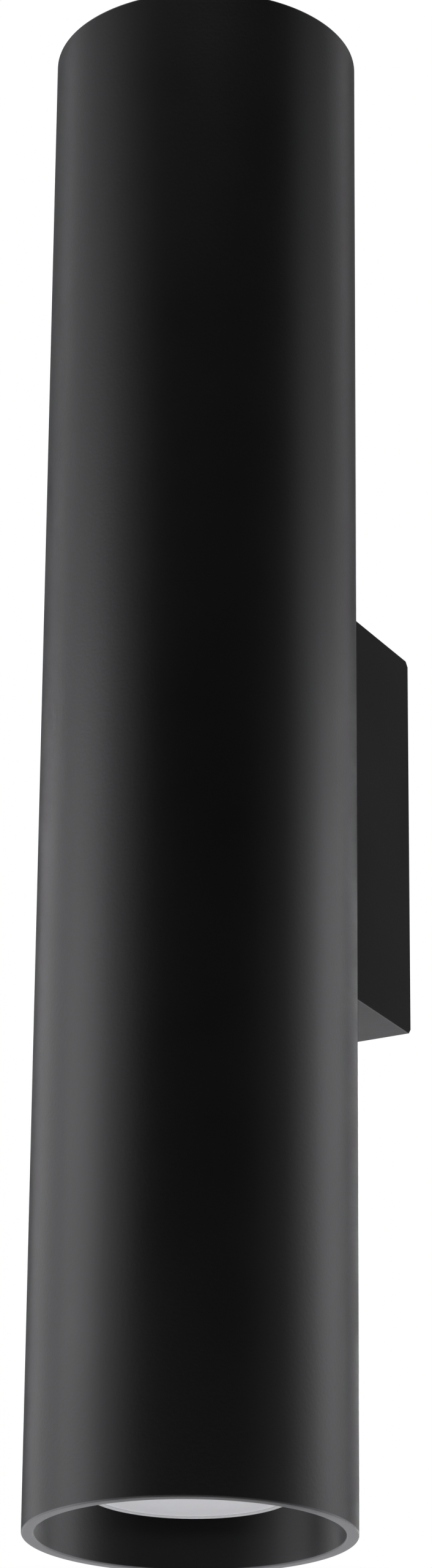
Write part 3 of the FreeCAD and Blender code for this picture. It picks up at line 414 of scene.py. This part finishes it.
def tube_coat(tree):
    """The tube's coat, thinly laid on most of its cut ends, whose pale grey there is partly a
    painted highlight.
    """
    x, across, z, radius = about_axis(tree)
    bore = TUBE_RADIUS - bpy.context.scene.fixture_sizes.tube_wall
    end = TUBE_HALF - abs(z)
    edge = second_smallest(tree, end, abs(radius - TUBE_RADIUS), abs(radius - bore))
    cut_end = tree.ramp(end, 500 * MICRON, 200 * MICRON)
    facing = (x * SHADED_RIM_SIDE.x + across * SHADED_RIM_SIDE.y) / radius
    patchy = tree.noise(tree.coordinates(), 160.0, detail=3.0).centred(0.2)
    # Painted light: the cut ends are pale as a painted highlight, except on the shaded side set
    # above, where they stay dark as painted shade.
    thin = cut_end * tree.ramp(facing + patchy, 0.55, 1.0, start=1.0, end=0.03)
    powder_coat(tree, colours().coat, edge, roughness=0.36, level=0.2, thin=thin)


def box_coat(tree):
    """The wall box's coat. Its back edges, at the wall, aren't rubbed."""
    x, y, z = tree.axes(tree.coordinates())
    edge = second_smallest(tree, BOX_HIGH.x - abs(x), y - BOX_LOW.y, BOX_HIGH.z - abs(z))
    powder_coat(tree, colours().box_coat, edge, roughness=0.50, level=0.5)


def carrier_coat(tree):
    """The same coat on the carrier strip, whose folded edges are its x faces."""
    x, _, _ = tree.axes(tree.coordinates())
    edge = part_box("lamp_carrier")[1].x - abs(x)
    powder_coat(tree, colours().box_coat, edge, roughness=0.6, level=0.35, peel=1500.0)


def plated(tree, tone, tint, roughness, grain=(900.0, 900.0, 60.0)):
    """Plated steel: drawn grain, soft cloudy colour and small dull spots."""
    place = tree.coordinates()
    drawn = tree.noise(tree.stretched(place, grain), 1.0, detail=3.0, roughness=0.6)
    cloud = tree.noise(place, 130.0, detail=3.0, roughness=0.6, distortion=0.8)
    spots = tree.specks(place, 420.0, edge=0.16, core=0.05)
    clean = tree.mix(tree.ramp(cloud, 0.35, 0.65), tone, tint)
    spotted = tree.mix(spots * 0.22, clean, shade(tone, 0.45))
    rough = roughness + cloud.centred(0.18) + drawn.centred(0.16) + spots * 0.2
    tree.surface(spotted, rough, drawn + cloud * 0.5, 6 * MICRON, Metallic=1.0)


def black_oxide(tree):
    """Blackened steel: oily dark tone that wears to grey on the high spots."""
    tones = colours()
    place = tree.coordinates()
    cloud = tree.noise(place, 260.0, detail=3.0, roughness=0.6)
    drawn = tree.noise(tree.stretched(place, (1500.0, 1500.0, 200.0)), 1.0, detail=2.0)
    worn = tree.ramp(tree.noise(place, 700.0, detail=2.0), 0.6, 0.78)
    tone = tree.mix(worn * 0.5, tones.oxide, shade(tones.oxide, 5.0))
    rough = 0.42 + cloud.centred(0.2) + drawn.centred(0.1)
    tree.surface(tone, rough, drawn + cloud * 0.4, 6 * MICRON, Metallic=0.85)


def rubber(tree):
    """Moulded rubber: a dull bloom over a fine grain."""
    tones = colours()
    place = tree.coordinates()
    bloom = tree.ramp(tree.noise(place, 160.0, detail=4.0, roughness=0.65), 0.4, 0.75)
    grain = tree.noise(place, 3200.0, detail=2.0)
    tone = tree.mix(bloom * 0.6, tones.rubber, shade(tones.rubber, 2.6))
    rough = 0.72 + bloom * 0.12 + grain.centred(0.08)
    tree.surface(tone, rough, grain, 20 * MICRON, Specular_IOR_Level=0.35)


def moulded(tree, tone, roughness, warmth=(1.0, 0.97, 0.90)):
    """Moulded plastic: faint flow lines, a slightly aged tone in places and a fine sparkle."""
    place = tree.coordinates()
    flow = tree.noise(tree.stretched(place, (90.0, 90.0, 420.0)), 1.0, detail=3.0, distortion=0.6)
    aged = tree.ramp(tree.noise(place, 60.0, detail=3.0), 0.42, 0.75)
    grain = tree.noise(place, 2600.0, detail=2.0)
    specks = tree.specks(place, 500.0, edge=0.045, core=0.02)
    clean = tree.mix(aged * 0.6, tone, [part * warm for part, warm in zip(tone, warmth)])
    specked = tree.mix(specks * 0.3, clean, shade(tone, 0.6))
    rough = roughness + flow.centred(0.12) + grain.centred(0.06)
    tree.surface(specked, rough, flow * 0.3 + grain * 0.7, 12 * MICRON)


def sleeve(tree, tone, bands=None):
    """Soft wire insulation with a faint extruded line. bands paints a second colour on it."""
    place = tree.coordinates()
    cloud = tree.noise(place, 240.0, detail=3.0)
    grain = tree.noise(place, 3800.0, detail=1.0)
    base = tree.mix(tree.ramp(cloud, 0.35, 0.7) * 0.5, tone, shade(tone, 0.72))
    if bands is not None:
        x, y, z = tree.axes(place)
        per_metre, slant = 2600.0, 260.0
        wave = tree.math("SINE", (x + y * 0.7) * per_metre + z * slant)
        base = tree.mix(tree.ramp(wave, -0.12, 0.12), base, bands)
    rough = 0.38 + cloud.centred(0.2) + grain.centred(0.08)
    tree.surface(base, rough, cloud * 0.6 + grain * 0.4, 12 * MICRON)


def turned(tree, tone, roughness=0.3):
    """Turned or rolled copper alloy: tool rings, handling tarnish and small dark pits."""
    place = tree.coordinates()
    rings = tree.noise(tree.stretched(place, (120.0, 120.0, 2400.0)), 1.0, detail=2.0)
    tarnish = tree.ramp(tree.noise(place, 210.0, detail=4.0, roughness=0.65), 0.45, 0.75)
    pits = tree.specks(place, 800.0, edge=0.1, core=0.03)
    aged = tree.mix(tarnish * 0.55, tone, shade(tone, 0.45))
    pitted = tree.mix(pits * 0.4, aged, shade(tone, 0.2))
    rough = roughness + tarnish * 0.2 + rings.centred(0.12)
    tree.surface(pitted, rough, rings, 6 * MICRON, Metallic=1.0)


def ceramic(tree):
    """Unglazed pressed ceramic: chalky, with pores and a few iron specks."""
    tones = colours()
    place = tree.coordinates()
    chalk = tree.noise(place, 380.0, detail=4.0, roughness=0.65)
    pores = tree.specks(place, 1500.0, edge=0.18, core=0.05)
    specks = tree.specks(place, 260.0, edge=0.05, core=0.025)
    base = tree.mottled(chalk, tones.ceramic, 0.84, high=0.75)
    tone = tree.mix(specks * 0.6, base, tones.iron)
    rough = 0.58 + chalk.centred(0.2) + pores * 0.15
    tree.surface(tone, rough, chalk * 0.6 - pores * 0.5, 30 * MICRON)


def diffuser(tree):
    """Frosted disc: milky, with a fine blasted grain and a faint mould ring near its edge."""
    tones = colours()
    place = tree.coordinates()
    radius = about_axis(tree)[-1]
    rim = tree.ramp(radius, LAMP_RADIUS * 0.86, LAMP_RADIUS * 0.95)
    milk = tree.noise(place, 70.0, detail=3.0, roughness=0.55)
    frost = tree.noise(place, 2400.0, detail=2.0)
    specks = tree.specks(place, 700.0, edge=0.04, core=0.02)
    base = tree.mottled(milk, tones.diffuser, 0.94)
    edged = tree.mix(rim * 0.6, base, shade(tones.diffuser, 1.12))
    tone = tree.mix(specks * 0.2, edged, shade(tones.diffuser, 0.5))
    rough = 0.48 + milk.centred(0.12) + frost.centred(0.1)
    tree.surface(tone, rough, frost, 10 * MICRON, Subsurface_Weight=0.25,
                 Subsurface_Scale=0.002)


def board_mask(tree):
    """White solder mask over copper: faint tracks show through, with dull flux marks."""
    tones = colours()
    place = tree.coordinates()
    track_radius = LAMP_RADIUS * 0.56
    radius = about_axis(tree)[-1]
    track = tree.ramp(abs(radius - track_radius), 1100 * MICRON, 800 * MICRON)
    flux = tree.ramp(tree.noise(place, 300.0, detail=4.0), 0.5, 0.75)
    grain = tree.noise(place, 3000.0, detail=2.0)
    base = tree.mix(track * 0.35, tones.board, tones.track)
    tone = tree.mix(flux * 0.3, base, tones.flux)
    rough = 0.36 + flux * 0.2 + grain.centred(0.06)
    tree.surface(tone, rough, track + grain * 0.2, 20 * MICRON)


def phosphor(tree):
    """Phosphor gel: grainy yellow with a glossy skin."""
    tones = colours()
    place = tree.coordinates()
    grain = tree.noise(place, 5200.0, detail=2.0)
    settled = tree.noise(place, 800.0, detail=2.0)
    tone = tree.mottled(settled, tones.phosphor, 1.15)
    tree.surface(tone, 0.25 + grain.centred(0.15), grain, 15 * MICRON, Subsurface_Weight=0.2,
                 Subsurface_Scale=0.0004)


def laminate(tree):
    """Green circuit board, woven glass under its mask, with a dark part on each side.

    The board is 1.6 mm thick, so whatever lies further from its middle is one of the parts.
    """
    tones = colours()
    place = tree.coordinates()
    x, y, z = tree.axes(place)
    threads, tracks_wide, slant = 9000.0, 1500.0, 260.0
    weave = tree.math("SINE", x * threads) * tree.math("SINE", z * threads)
    cloud = tree.noise(place, 420.0, detail=3.0)
    tracks = tree.ramp(tree.math("SINE", x * tracks_wide + z * slant), 0.55, 0.75)
    base = tree.mottled(cloud, tones.laminate, 0.7)
    board = tree.mix(tracks * 0.4, base, shade(tones.laminate, 2.0))
    dark = tree.mottled(cloud, tones.driver_parts, 1.6)
    parts = tree.ramp(abs(y - AXIS.y), 850 * MICRON, 900 * MICRON)
    tone = tree.mix(parts, board, dark)
    height = (weave * 0.5 + tracks) * (1.0 - parts)
    tree.surface(tone, 0.34 + cloud.centred(0.15), height, 10 * MICRON)


def pale_floor(tree):
    """Pale studio floor with the faintest mottling, which fades into the backdrop far away."""
    tones = colours()
    place = tree.coordinates()
    x, y, _ = tree.axes(place)
    reach = bpy.context.scene.stage_settings.floor_radius
    near = tree.ramp(tree.flat_length(x, y), reach * 0.2, reach * 0.95, start=1.0, end=0.0)
    cloud = tree.noise(place, 1.6, detail=4.0)
    grain = tree.noise(place, 260.0, detail=2.0)
    tone = tree.mottled(cloud, tones.floor, 0.985)
    tree.surface(tone, 0.85 + cloud.centred(0.06), grain, 100 * MICRON, Specular_IOR_Level=0.2,
                 Alpha=near)


def finishes():
    """How each of the record's material slots is painted."""
    tones = colours()
    return {
        "tube_coat": tube_coat,
        "box_coat": box_coat,
        "carrier_coat": carrier_coat,
        "bracket_zinc": lambda tree: plated(tree, tones.zinc, tones.zinc_tint, 0.34),
        "black_screws": black_oxide,
        "zinc_fasteners": lambda tree: plated(tree, tones.zinc, tones.zinc_tint, 0.26,
                                              grain=(1400.0, 240.0, 1400.0)),
        "bush_rubber": rubber,
        "terminal_plastic": lambda tree: moulded(tree, tones.terminal, 0.45),
        "clamp_brass": lambda tree: turned(tree, tones.brass),
        "terminal_steel": lambda tree: plated(tree, tones.zinc, tones.tin, 0.3),
        "lug_tin": lambda tree: plated(tree, tones.tin, tones.zinc, 0.36),
        "live_sleeve": lambda tree: sleeve(tree, tones.brown),
        "neutral_sleeve": lambda tree: sleeve(tree, tones.blue),
        "earth_sleeve": lambda tree: sleeve(tree, tones.green, tones.yellow),
        "holder_ceramic": ceramic,
        "contact_bronze": lambda tree: turned(tree, tones.bronze, 0.34),
        "lamp_plastic": lambda tree: moulded(tree, tones.lamp, 0.36, warmth=(1.0, 0.985, 0.95)),
        "lamp_diffuser": diffuser,
        "led_board_mask": board_mask,
        "led_phosphor": phosphor,
        "driver_laminate": laminate,
        "pin_nickel": lambda tree: plated(tree, tones.nickel, tones.tin, 0.22),
    }


def finish(slot):
    """The material of a slot, made the first time it is asked for."""
    name = f"{slot}_finish"
    made = bpy.data.materials.get(name)
    if made is None:
        made = bpy.data.materials.new(name)
        finishes()[slot](ShaderTree(made))
    return made


# ---- shaping --------------------------------------------------------------------------------
def spun(outline, steps, closed=True):
    """A turned form: (radius, height) points swept round the z axis. Poles and seam are merged."""
    bm = bmesh.new()
    verts = [bm.verts.new((radius, 0.0, height)) for radius, height in outline]
    ends = verts[1:] + verts[:1] if closed else verts[1:]
    edges = [bm.edges.new(pair) for pair in zip(verts, ends)]
    bmesh.ops.spin(bm, geom=verts + edges, cent=(0, 0, 0), axis=(0, 0, 1), dvec=(0, 0, 0),
                   angle=math.tau, steps=steps, use_merge=True, use_duplicate=False)
    bmesh.ops.remove_doubles(bm, verts=bm.verts, dist=MERGE_DISTANCE)
    bmesh.ops.recalc_face_normals(bm, faces=bm.faces)
    return bm


def hard_edges(bm):
    return [edge for edge in bm.edges
            if len(edge.link_faces) == 2 and edge.calc_face_angle(0.0) > HARD_ANGLE]


def rounded(bm, edges, width, segments):
    bmesh.ops.bevel(bm, geom=edges, offset=width, offset_type="OFFSET", affect="EDGES",
                    segments=segments, profile=0.5, material=-1, clamp_overlap=True)


def extruded(bm, faces):
    """Extrudes faces and gives the new ones' vertices, to be moved. The old ones are deleted."""
    made = bmesh.ops.extrude_face_region(bm, geom=faces)["geom"]
    bmesh.ops.delete(bm, geom=faces, context="FACES")
    return [part for part in made if isinstance(part, bmesh.types.BMVert)]


def bar_matrix(start, end):
    """Turns the z axis onto the line from start to end, at its middle."""
    turn = (end - start).to_track_quat("Z", "Y").to_matrix().to_4x4()
    return Matrix.Translation((start + end) / 2) @ turn


def round_bars(bars):
    """A mesh of round bars, each a (start, end, radius), to cut holes with."""
    bm = bmesh.new()
    for start, end, radius in bars:
        bmesh.ops.create_cone(bm, cap_ends=True, segments=HOLE_STEPS, radius1=radius,
                              radius2=radius, depth=(end - start).length,
                              matrix=bar_matrix(start, end))
    return bm


def loose_object(name, bm):
    mesh = bpy.data.meshes.new(name)
    bm.to_mesh(mesh)
    bm.free()
    made = bpy.data.objects.new(name, mesh)
    bpy.context.scene.collection.objects.link(made)
    return made


def cut_away(bm, cutter):
    """Takes the cutter's volume out of a mesh and gives the mesh that is left."""
    body = loose_object("uncut", bm)
    tool = loose_object("cutter", cutter)
    modifier = body.modifiers.new("cut", "BOOLEAN")
    modifier.operation = "DIFFERENCE"
    modifier.solver = "EXACT"
    modifier.object = tool
    graph = bpy.context.evaluated_depsgraph_get()
    result = bmesh.new()
    result.from_mesh(body.evaluated_get(graph).to_mesh())
    for used in (body, tool):
        mesh = used.data
        bpy.data.objects.remove(used)
        bpy.data.meshes.remove(mesh)
    return result


def finished_piece(name, bm, slot, body, nodes):
    """Turns a mesh into a piece of the light that rides on a body and stands for CAD nodes."""
    mesh = bpy.data.meshes.new(name)
    bm.to_mesh(mesh)
    bm.free()
    mesh.shade_smooth()
    mesh.set_sharp_from_angle(angle=SMOOTH_ANGLE)
    mesh.materials.append(finish(slot))
    piece = bpy.data.objects.new(name, mesh)
    bpy.context.scene.collection.objects.link(piece)
    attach(piece, body)
    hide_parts(*nodes)


def back_hole_bars(sizes):
    """The holes that the tube and the box's front share: two screws and the wire bush."""
    front = Vector((0.0, AXIS.y, 0.0))
    back = Vector((0.0, BOX_LOW.y + 2 * sizes.box_sheet, 0.0))
    bars = [(front, back, sizes.bush_hole / 2)]
    for side in (-1, 1):
        height = Vector((0.0, 0.0, side * sizes.fixing_spacing / 2))
        bars.append((front + height, back + height, sizes.fixing_hole / 2))
    return bars


def at_mouth(bm, end):
    """Moves a lamp piece from its own frame, face at 0 and + out of the mouth, to one end."""
    turn = 0.0 if end == "upper" else math.pi
    height = LAMP_FACE if end == "upper" else -LAMP_FACE
    place = Matrix.Translation((AXIS.x, AXIS.y, height)) @ Matrix.Rotation(turn, 4, "X")
    bmesh.ops.transform(bm, matrix=place, verts=bm.verts)


# ---- operators ------------------------------------------------------------------------------
class TUBELIGHT_OT_tube(bpy.types.Operator):
    """Turn the round tube with its softened ends, and drill its back"""

    bl_idname = "tubelight.tube"
    bl_label = "Tube"

    def execute(self, context):
        sizes = context.scene.fixture_sizes
        bore = TUBE_RADIUS - sizes.tube_wall
        bm = spun([(bore, -TUBE_HALF), (TUBE_RADIUS, -TUBE_HALF), (TUBE_RADIUS, TUBE_HALF),
                   (bore, TUBE_HALF)], sizes.tube_steps)
        rounded(bm, hard_edges(bm), sizes.rim_rounding, RIM_STEPS)
        bmesh.ops.translate(bm, vec=AXIS, verts=bm.verts)
        bm = cut_away(bm, round_bars(back_hole_bars(sizes)))
        finished_piece("round_tube", bm, "tube_coat", "fixture", ["tube"])
        return {"FINISHED"}


class TUBELIGHT_OT_wall_box(bpy.types.Operator):
    """Fold the wall box: a shallow steel box with soft bends, open to the wall"""

    bl_idname = "tubelight.wall_box"
    bl_label = "Wall box"

    def execute(self, context):
        sizes = context.scene.fixture_sizes
        bm = bmesh.new()
        bmesh.ops.create_cube(bm, size=1.0)
        bmesh.ops.scale(bm, vec=BOX_HIGH - BOX_LOW, verts=bm.verts)
        bmesh.ops.translate(bm, vec=(BOX_LOW + BOX_HIGH) / 2, verts=bm.verts)
        back = max(bm.faces, key=lambda face: face.calc_center_median().y)
        outer_back = list(back.edges)
        outer = [edge for edge in bm.edges if edge not in outer_back]
        bmesh.ops.inset_region(bm, faces=[back], thickness=sizes.box_sheet, use_even_offset=True)
        depth = BOX_HIGH.y - BOX_LOW.y - sizes.box_sheet
        bmesh.ops.translate(bm, vec=(0.0, -depth, 0.0), verts=extruded(bm, [back]))
        bmesh.ops.recalc_face_normals(bm, faces=bm.faces)
        across = [edge for edge in outer_back
                  if abs(edge.verts[0].co.x - edge.verts[1].co.x) > MERGE_DISTANCE]
        rounded(bm, across, min(sizes.box_back_bend, 0.9 * sizes.box_sheet), BEND_STEPS)
        rounded(bm, [edge for edge in outer if edge.is_valid], sizes.box_bend, BEND_STEPS)
        bars = back_hole_bars(sizes)
        for side in (-1, 1):
            inside, outside = (Vector((0.0, -sizes.locking_setback, side * BOX_HIGH.z * part))
                               for part in (0.8, 1.2))
            bars.append((inside, outside, sizes.locking_hole / 2))
        bm = cut_away(bm, round_bars(bars))
        finished_piece("box_shell", bm, "box_coat", "fixture", ["wall_box"])
        return {"FINISHED"}


class TUBELIGHT_OT_lamps(bpy.types.Operator):
    """Mould the two lamps' finned cups and frosted discs"""

    bl_idname = "tubelight.lamps"
    bl_label = "Lamps"

    def cup(self, sizes):
        """The finned cup, with its face at z = 0 and its neck below."""
        rim = LAMP_RADIUS
        shell = sizes.shell
        seat = rim - sizes.ledge
        board_seat = seat - sizes.ledge
        below_board = board_seat - sizes.board_ledge
        shoulder = -(sizes.board_depth + shell)
        lens_seat = -(sizes.lens_setback + sizes.lens_thickness)
        neck_z = -LAMP_NECK_DEPTH
        flank_start = shoulder - shell
        fin_top = -sizes.rim_height - sizes.fin_start
        fin_foot = neck_z + sizes.fin_end

        def flank(height):
            """Outer radius of the cup's tapered part at a height."""
            high, low = ((rim, -sizes.rim_height), (rim - shell, flank_start))
            if height < flank_start:
                high, low = low, (sizes.neck_radius, neck_z)
            part = (high[1] - height) / (high[1] - low[1])
            return high[0] + (low[0] - high[0]) * part

        outline = [(seat, 0.0), (rim, 0.0), (rim, -sizes.rim_height), (flank(fin_top), fin_top),
                   (rim - shell, flank_start), (flank(fin_foot), fin_foot),
                   (sizes.neck_radius, neck_z), (sizes.neck_radius - shell, neck_z),
                   (sizes.neck_radius - shell, neck_z + sizes.plug_height),
                   (below_board - shell, shoulder), (below_board, -sizes.board_depth),
                   (board_seat, -sizes.board_depth), (board_seat, lens_seat), (seat, lens_seat)]
        bm = spun(outline, sizes.fin_count * sizes.pitch_steps)
        self.raise_fins(bm, sizes, fin_top, fin_foot)
        rounded(bm, hard_edges(bm), sizes.edge_rounding, MOULDED_STEPS)
        return bm

    def raise_fins(self, bm, sizes, fin_top, fin_foot):
        """Pulls narrow strips of the cup's flank outwards."""
        pitch = math.tau / sizes.fin_count
        width = pitch * sizes.fin_steps / sizes.pitch_steps
        strips = []
        for face in bm.faces:
            centre = face.calc_center_median()
            outside = face.normal.xy.dot(centre.xy) > 0 and fin_foot < centre.z < fin_top
            turn = math.atan2(centre.y, centre.x) % pitch
            if outside and turn < width:
                strips.append(face)
        for vert in extruded(bm, strips):
            radius = vert.co.xy.length
            reach = min(radius + sizes.fin_height, LAMP_RADIUS)
            vert.co.xy = vert.co.xy * (reach / radius)
        bmesh.ops.recalc_face_normals(bm, faces=bm.faces)

    def disc(self, sizes):
        """The frosted disc, slightly domed, in the same frame as the cup."""
        radius = LAMP_RADIUS - sizes.ledge - sizes.lens_gap
        front = -sizes.lens_setback
        back = front - sizes.lens_thickness
        flat = radius - sizes.lens_edge
        dome = [(flat * k / DOME_STEPS, front - sizes.lens_dome * (k / DOME_STEPS) ** 2)
                for k in range(DOME_STEPS + 1)]
        outline = dome + [(radius, front - sizes.lens_dome - sizes.lens_edge), (radius, back),
                          (0.0, back)]
        return spun(outline, sizes.fin_count * sizes.pitch_steps, closed=False)

    def execute(self, context):
        sizes = context.scene.lamp_sizes
        for end in ENDS:
            for name, shape, slot, node in (
                    ("lamp_cup", self.cup, "lamp_plastic", "lamp_housing"),
                    ("lamp_diffuser", self.disc, "lamp_diffuser", "lamp_lens")):
                bm = shape(sizes)
                at_mouth(bm, end)
                finished_piece(f"{end}_{name}", bm, slot, f"{end}_lamp", [f"{end}_{node}"])
        return {"FINISHED"}


class TUBELIGHT_OT_locking_screws(bpy.types.Operator):
    """Turn the two locking screws and cut their cross recesses"""

    bl_idname = "tubelight.locking_screws"
    bl_label = "Locking screws"

    def screw(self, sizes):
        """One screw with its head above z = 0 and its shank below."""
        radius = sizes.screw_head / 2
        edge, rise = 0.55 * sizes.screw_height, 0.45 * sizes.screw_height
        crown = [(radius * math.sin(turn), edge + rise * math.cos(turn))
                 for turn in (math.radians(12 * k) for k in range(DOME_STEPS))]
        bm = spun(crown + [(radius, 0.0), (sizes.screw_thread / 2, 0.0),
                           (sizes.screw_thread / 2, -sizes.screw_length),
                           (0.0, -sizes.screw_length)], HOLE_STEPS, closed=False)
        reach, blade = sizes.cross_reach, sizes.cross_blade
        for width, depth in ((reach, blade), (blade, reach)):
            cutter = bmesh.new()
            place = Matrix.Translation((0.0, 0.0, sizes.screw_height))
            size = Matrix.Diagonal((2 * width, 2 * depth, 2 * sizes.cross_depth, 1.0))
            bmesh.ops.create_cube(cutter, size=1.0, matrix=place @ size)
            bm = cut_away(bm, cutter)
        return bm

    def execute(self, context):
        sizes = context.scene.fixture_sizes
        both = bmesh.new()
        for side in (-1, 1):
            one = self.screw(sizes)
            turn = Matrix.Rotation(0.0 if side > 0 else math.pi, 4, "X")
            place = Matrix.Translation((0.0, -sizes.locking_setback, side * BOX_HIGH.z))
            bmesh.ops.transform(one, matrix=place @ turn, verts=one.verts)
            part = bpy.data.meshes.new("screw")
            one.to_mesh(part)
            one.free()
            both.from_mesh(part)
            bpy.data.meshes.remove(part)
        finished_piece("lock_screws", both, "black_screws", "fixture", ["locking_screws"])
        return {"FINISHED"}


class TUBELIGHT_OT_inner_finishes(bpy.types.Operator):
    """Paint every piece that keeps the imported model's own shape"""

    bl_idname = "tubelight.inner_finishes"
    bl_label = "Inner finishes"

    def execute(self, context):
        for part in frame["record"]["subparts"]:
            node = frame["nodes"][part["node"]]
            node.data.materials.clear()
            node.data.materials.append(finish(part["material_slot"]))
        return {"FINISHED"}


class TUBELIGHT_OT_stage(bpy.types.Operator):
    """Lay the pale floor, hang the soft light, shade the studio and place the camera"""

    bl_idname = "tubelight.stage"
    bl_label = "Stage"

    def add_floor(self, stage):
        bm = bmesh.new()
        bmesh.ops.create_circle(bm, cap_ends=True, segments=FLOOR_STEPS,
                                radius=stage.floor_radius,
                                matrix=Matrix.Translation((0.0, 0.0, -stage.floor_drop)))
        floor = loose_object("floor", bm)
        material = bpy.data.materials.new("floor")
        pale_floor(ShaderTree(material))
        floor.data.materials.append(material)

    def soft_light(self, name, place, width, height, power, tint):
        """An area light that shines at the tube's middle and doesn't show in the picture."""
        light = bpy.data.lights.new(name, "AREA")
        light.color = tint
        light.shape = "RECTANGLE"
        light.size = width
        light.size_y = height
        light.energy = power
        lamp = bpy.data.objects.new(name, light)
        aim = (AXIS - place).to_track_quat("-Z", "Y")
        lamp.matrix_world = Matrix.Translation(place) @ aim.to_matrix().to_4x4()
        lamp.visible_camera = False
        bpy.context.scene.collection.objects.link(lamp)
        return lamp

    def add_lights(self, stage):
        overhead = bpy.data.lights.new("overhead", "SUN")
        overhead.energy = stage.overhead
        overhead.color = stage.tint
        overhead.angle = stage.overhead_spread
        bpy.context.scene.collection.objects.link(bpy.data.objects.new("overhead", overhead))
        lit = bpy.data.collections.new("side_lit")
        lit.objects.link(bpy.data.objects["round_tube"])
        blocking = bpy.data.collections.new("side_blocking")
        blocking.objects.link(bpy.data.objects["floor"])
        for number, (turn, height, power) in enumerate(SIDE_LIGHTS):
            heading = stage.camera_heading + math.pi + math.radians(turn)
            out = Vector((math.cos(heading), math.sin(heading), 0.0)) * stage.side_distance
            place = AXIS + out + Vector((0.0, 0.0, height))
            lamp = self.soft_light(f"side_{number}", place, stage.side_width, stage.side_height,
                                   power, stage.tint)
            lamp.data.cycles.use_multiple_importance_sampling = False
            lamp.light_linking.receiver_collection = lit
            lamp.light_linking.blocker_collection = blocking

    def add_studio(self, stage):
        """A dim studio with a glow on one side, and a white backdrop in the picture."""
        world = bpy.data.worlds.new("studio")
        bpy.context.scene.world = world
        tree = ShaderTree(world)
        x, y, z = tree.axes(tree.node("ShaderNodeTexCoord", output="Generated"))
        middle = stage.camera_heading + math.pi + stage.glow_turn
        along = x * math.cos(middle) + y * math.sin(middle)
        aside = y * math.cos(middle) - x * math.sin(middle)
        turn = tree.math("ARCTAN2", aside, along)
        height = tree.math("ARCTAN2", z, tree.flat_length(x, y))
        bright = tree.ramp(abs(turn), 0.0, stage.glow_reach, start=stage.glow, end=0.0)
        fade = tree.ramp(height, stage.glow_low, stage.glow_high, start=1.0, end=0.0)
        seen = tree.node("ShaderNodeLightPath", output="Is Camera Ray")
        strength = (bright * fade + stage.room) * (1.0 - seen) + seen * stage.backdrop
        tone = tree.mix(seen, stage.tint, (1.0, 1.0, 1.0))
        background = tree.node("ShaderNodeBackground",
                               inputs={"Color": tone, "Strength": strength})
        tree.node("ShaderNodeOutputWorld", inputs={"Surface": background})

    def add_camera(self, stage):
        heading, pitch, roll = stage.camera_heading, stage.camera_pitch, stage.camera_roll
        ahead = Vector((math.cos(heading) * math.cos(pitch), math.sin(heading) * math.cos(pitch),
                        math.sin(pitch)))
        right = ahead.cross(Vector((0.0, 0.0, 1.0))).normalized()
        up = right.cross(ahead)
        tilted_right = right * math.cos(roll) + up * math.sin(roll)
        tilted_up = up * math.cos(roll) - right * math.sin(roll)
        camera = bpy.data.objects.new("camera", bpy.data.cameras.new("camera"))
        camera.data.lens = stage.camera_lens
        turn = Matrix((tilted_right, tilted_up, -ahead)).transposed()
        camera.matrix_world = Matrix.Translation(stage.camera_place) @ turn.to_4x4()
        bpy.context.scene.collection.objects.link(camera)
        bpy.context.scene.camera = camera

    def execute(self, context):
        stage = context.scene.stage_settings
        self.add_floor(stage)
        self.add_lights(stage)
        self.add_studio(stage)
        self.add_camera(stage)
        context.scene.view_settings.view_transform = "Standard"
        return {"FINISHED"}


OPERATORS = (
    TUBELIGHT_OT_tube,
    TUBELIGHT_OT_wall_box,
    TUBELIGHT_OT_lamps,
    TUBELIGHT_OT_locking_screws,
    TUBELIGHT_OT_inner_finishes,
    TUBELIGHT_OT_stage,
)
SETTINGS = {
    "fixture_sizes": FixtureSizes,
    "lamp_sizes": LampSizes,
    "finish_colours": FinishColours,
    "stage_settings": StageSettings,
}


class TUBELIGHT_PT_panel(bpy.types.Panel):
    """Everything the wall light is made of"""

    bl_label = "Tube wall light"
    bl_idname = "TUBELIGHT_PT_panel"
    bl_space_type = "VIEW_3D"
    bl_region_type = "UI"
    bl_category = "Wall light"

    def draw(self, context):
        for operator in OPERATORS:
            self.layout.operator(operator.bl_idname)
        for name, kind in SETTINGS.items():
            group = getattr(context.scene, name)
            column = self.layout.column()
            for setting in kind.__annotations__:
                column.prop(group, setting)


def register():
    for kind in (*SETTINGS.values(), *OPERATORS, TUBELIGHT_PT_panel):
        bpy.utils.register_class(kind)
    for name, kind in SETTINGS.items():
        setattr(bpy.types.Scene, name, bpy.props.PointerProperty(type=kind))


def unregister():
    for name in SETTINGS:
        delattr(bpy.types.Scene, name)
    for kind in reversed((*SETTINGS.values(), *OPERATORS, TUBELIGHT_PT_panel)):
        bpy.utils.unregister_class(kind)


def main():
    register()
    bpy.ops.tubelight.tube()
    bpy.ops.tubelight.wall_box()
    bpy.ops.tubelight.lamps()
    bpy.ops.tubelight.locking_screws()
    bpy.ops.tubelight.inner_finishes()
    bpy.ops.tubelight.stage()


if __name__ == "__main__":
    main()
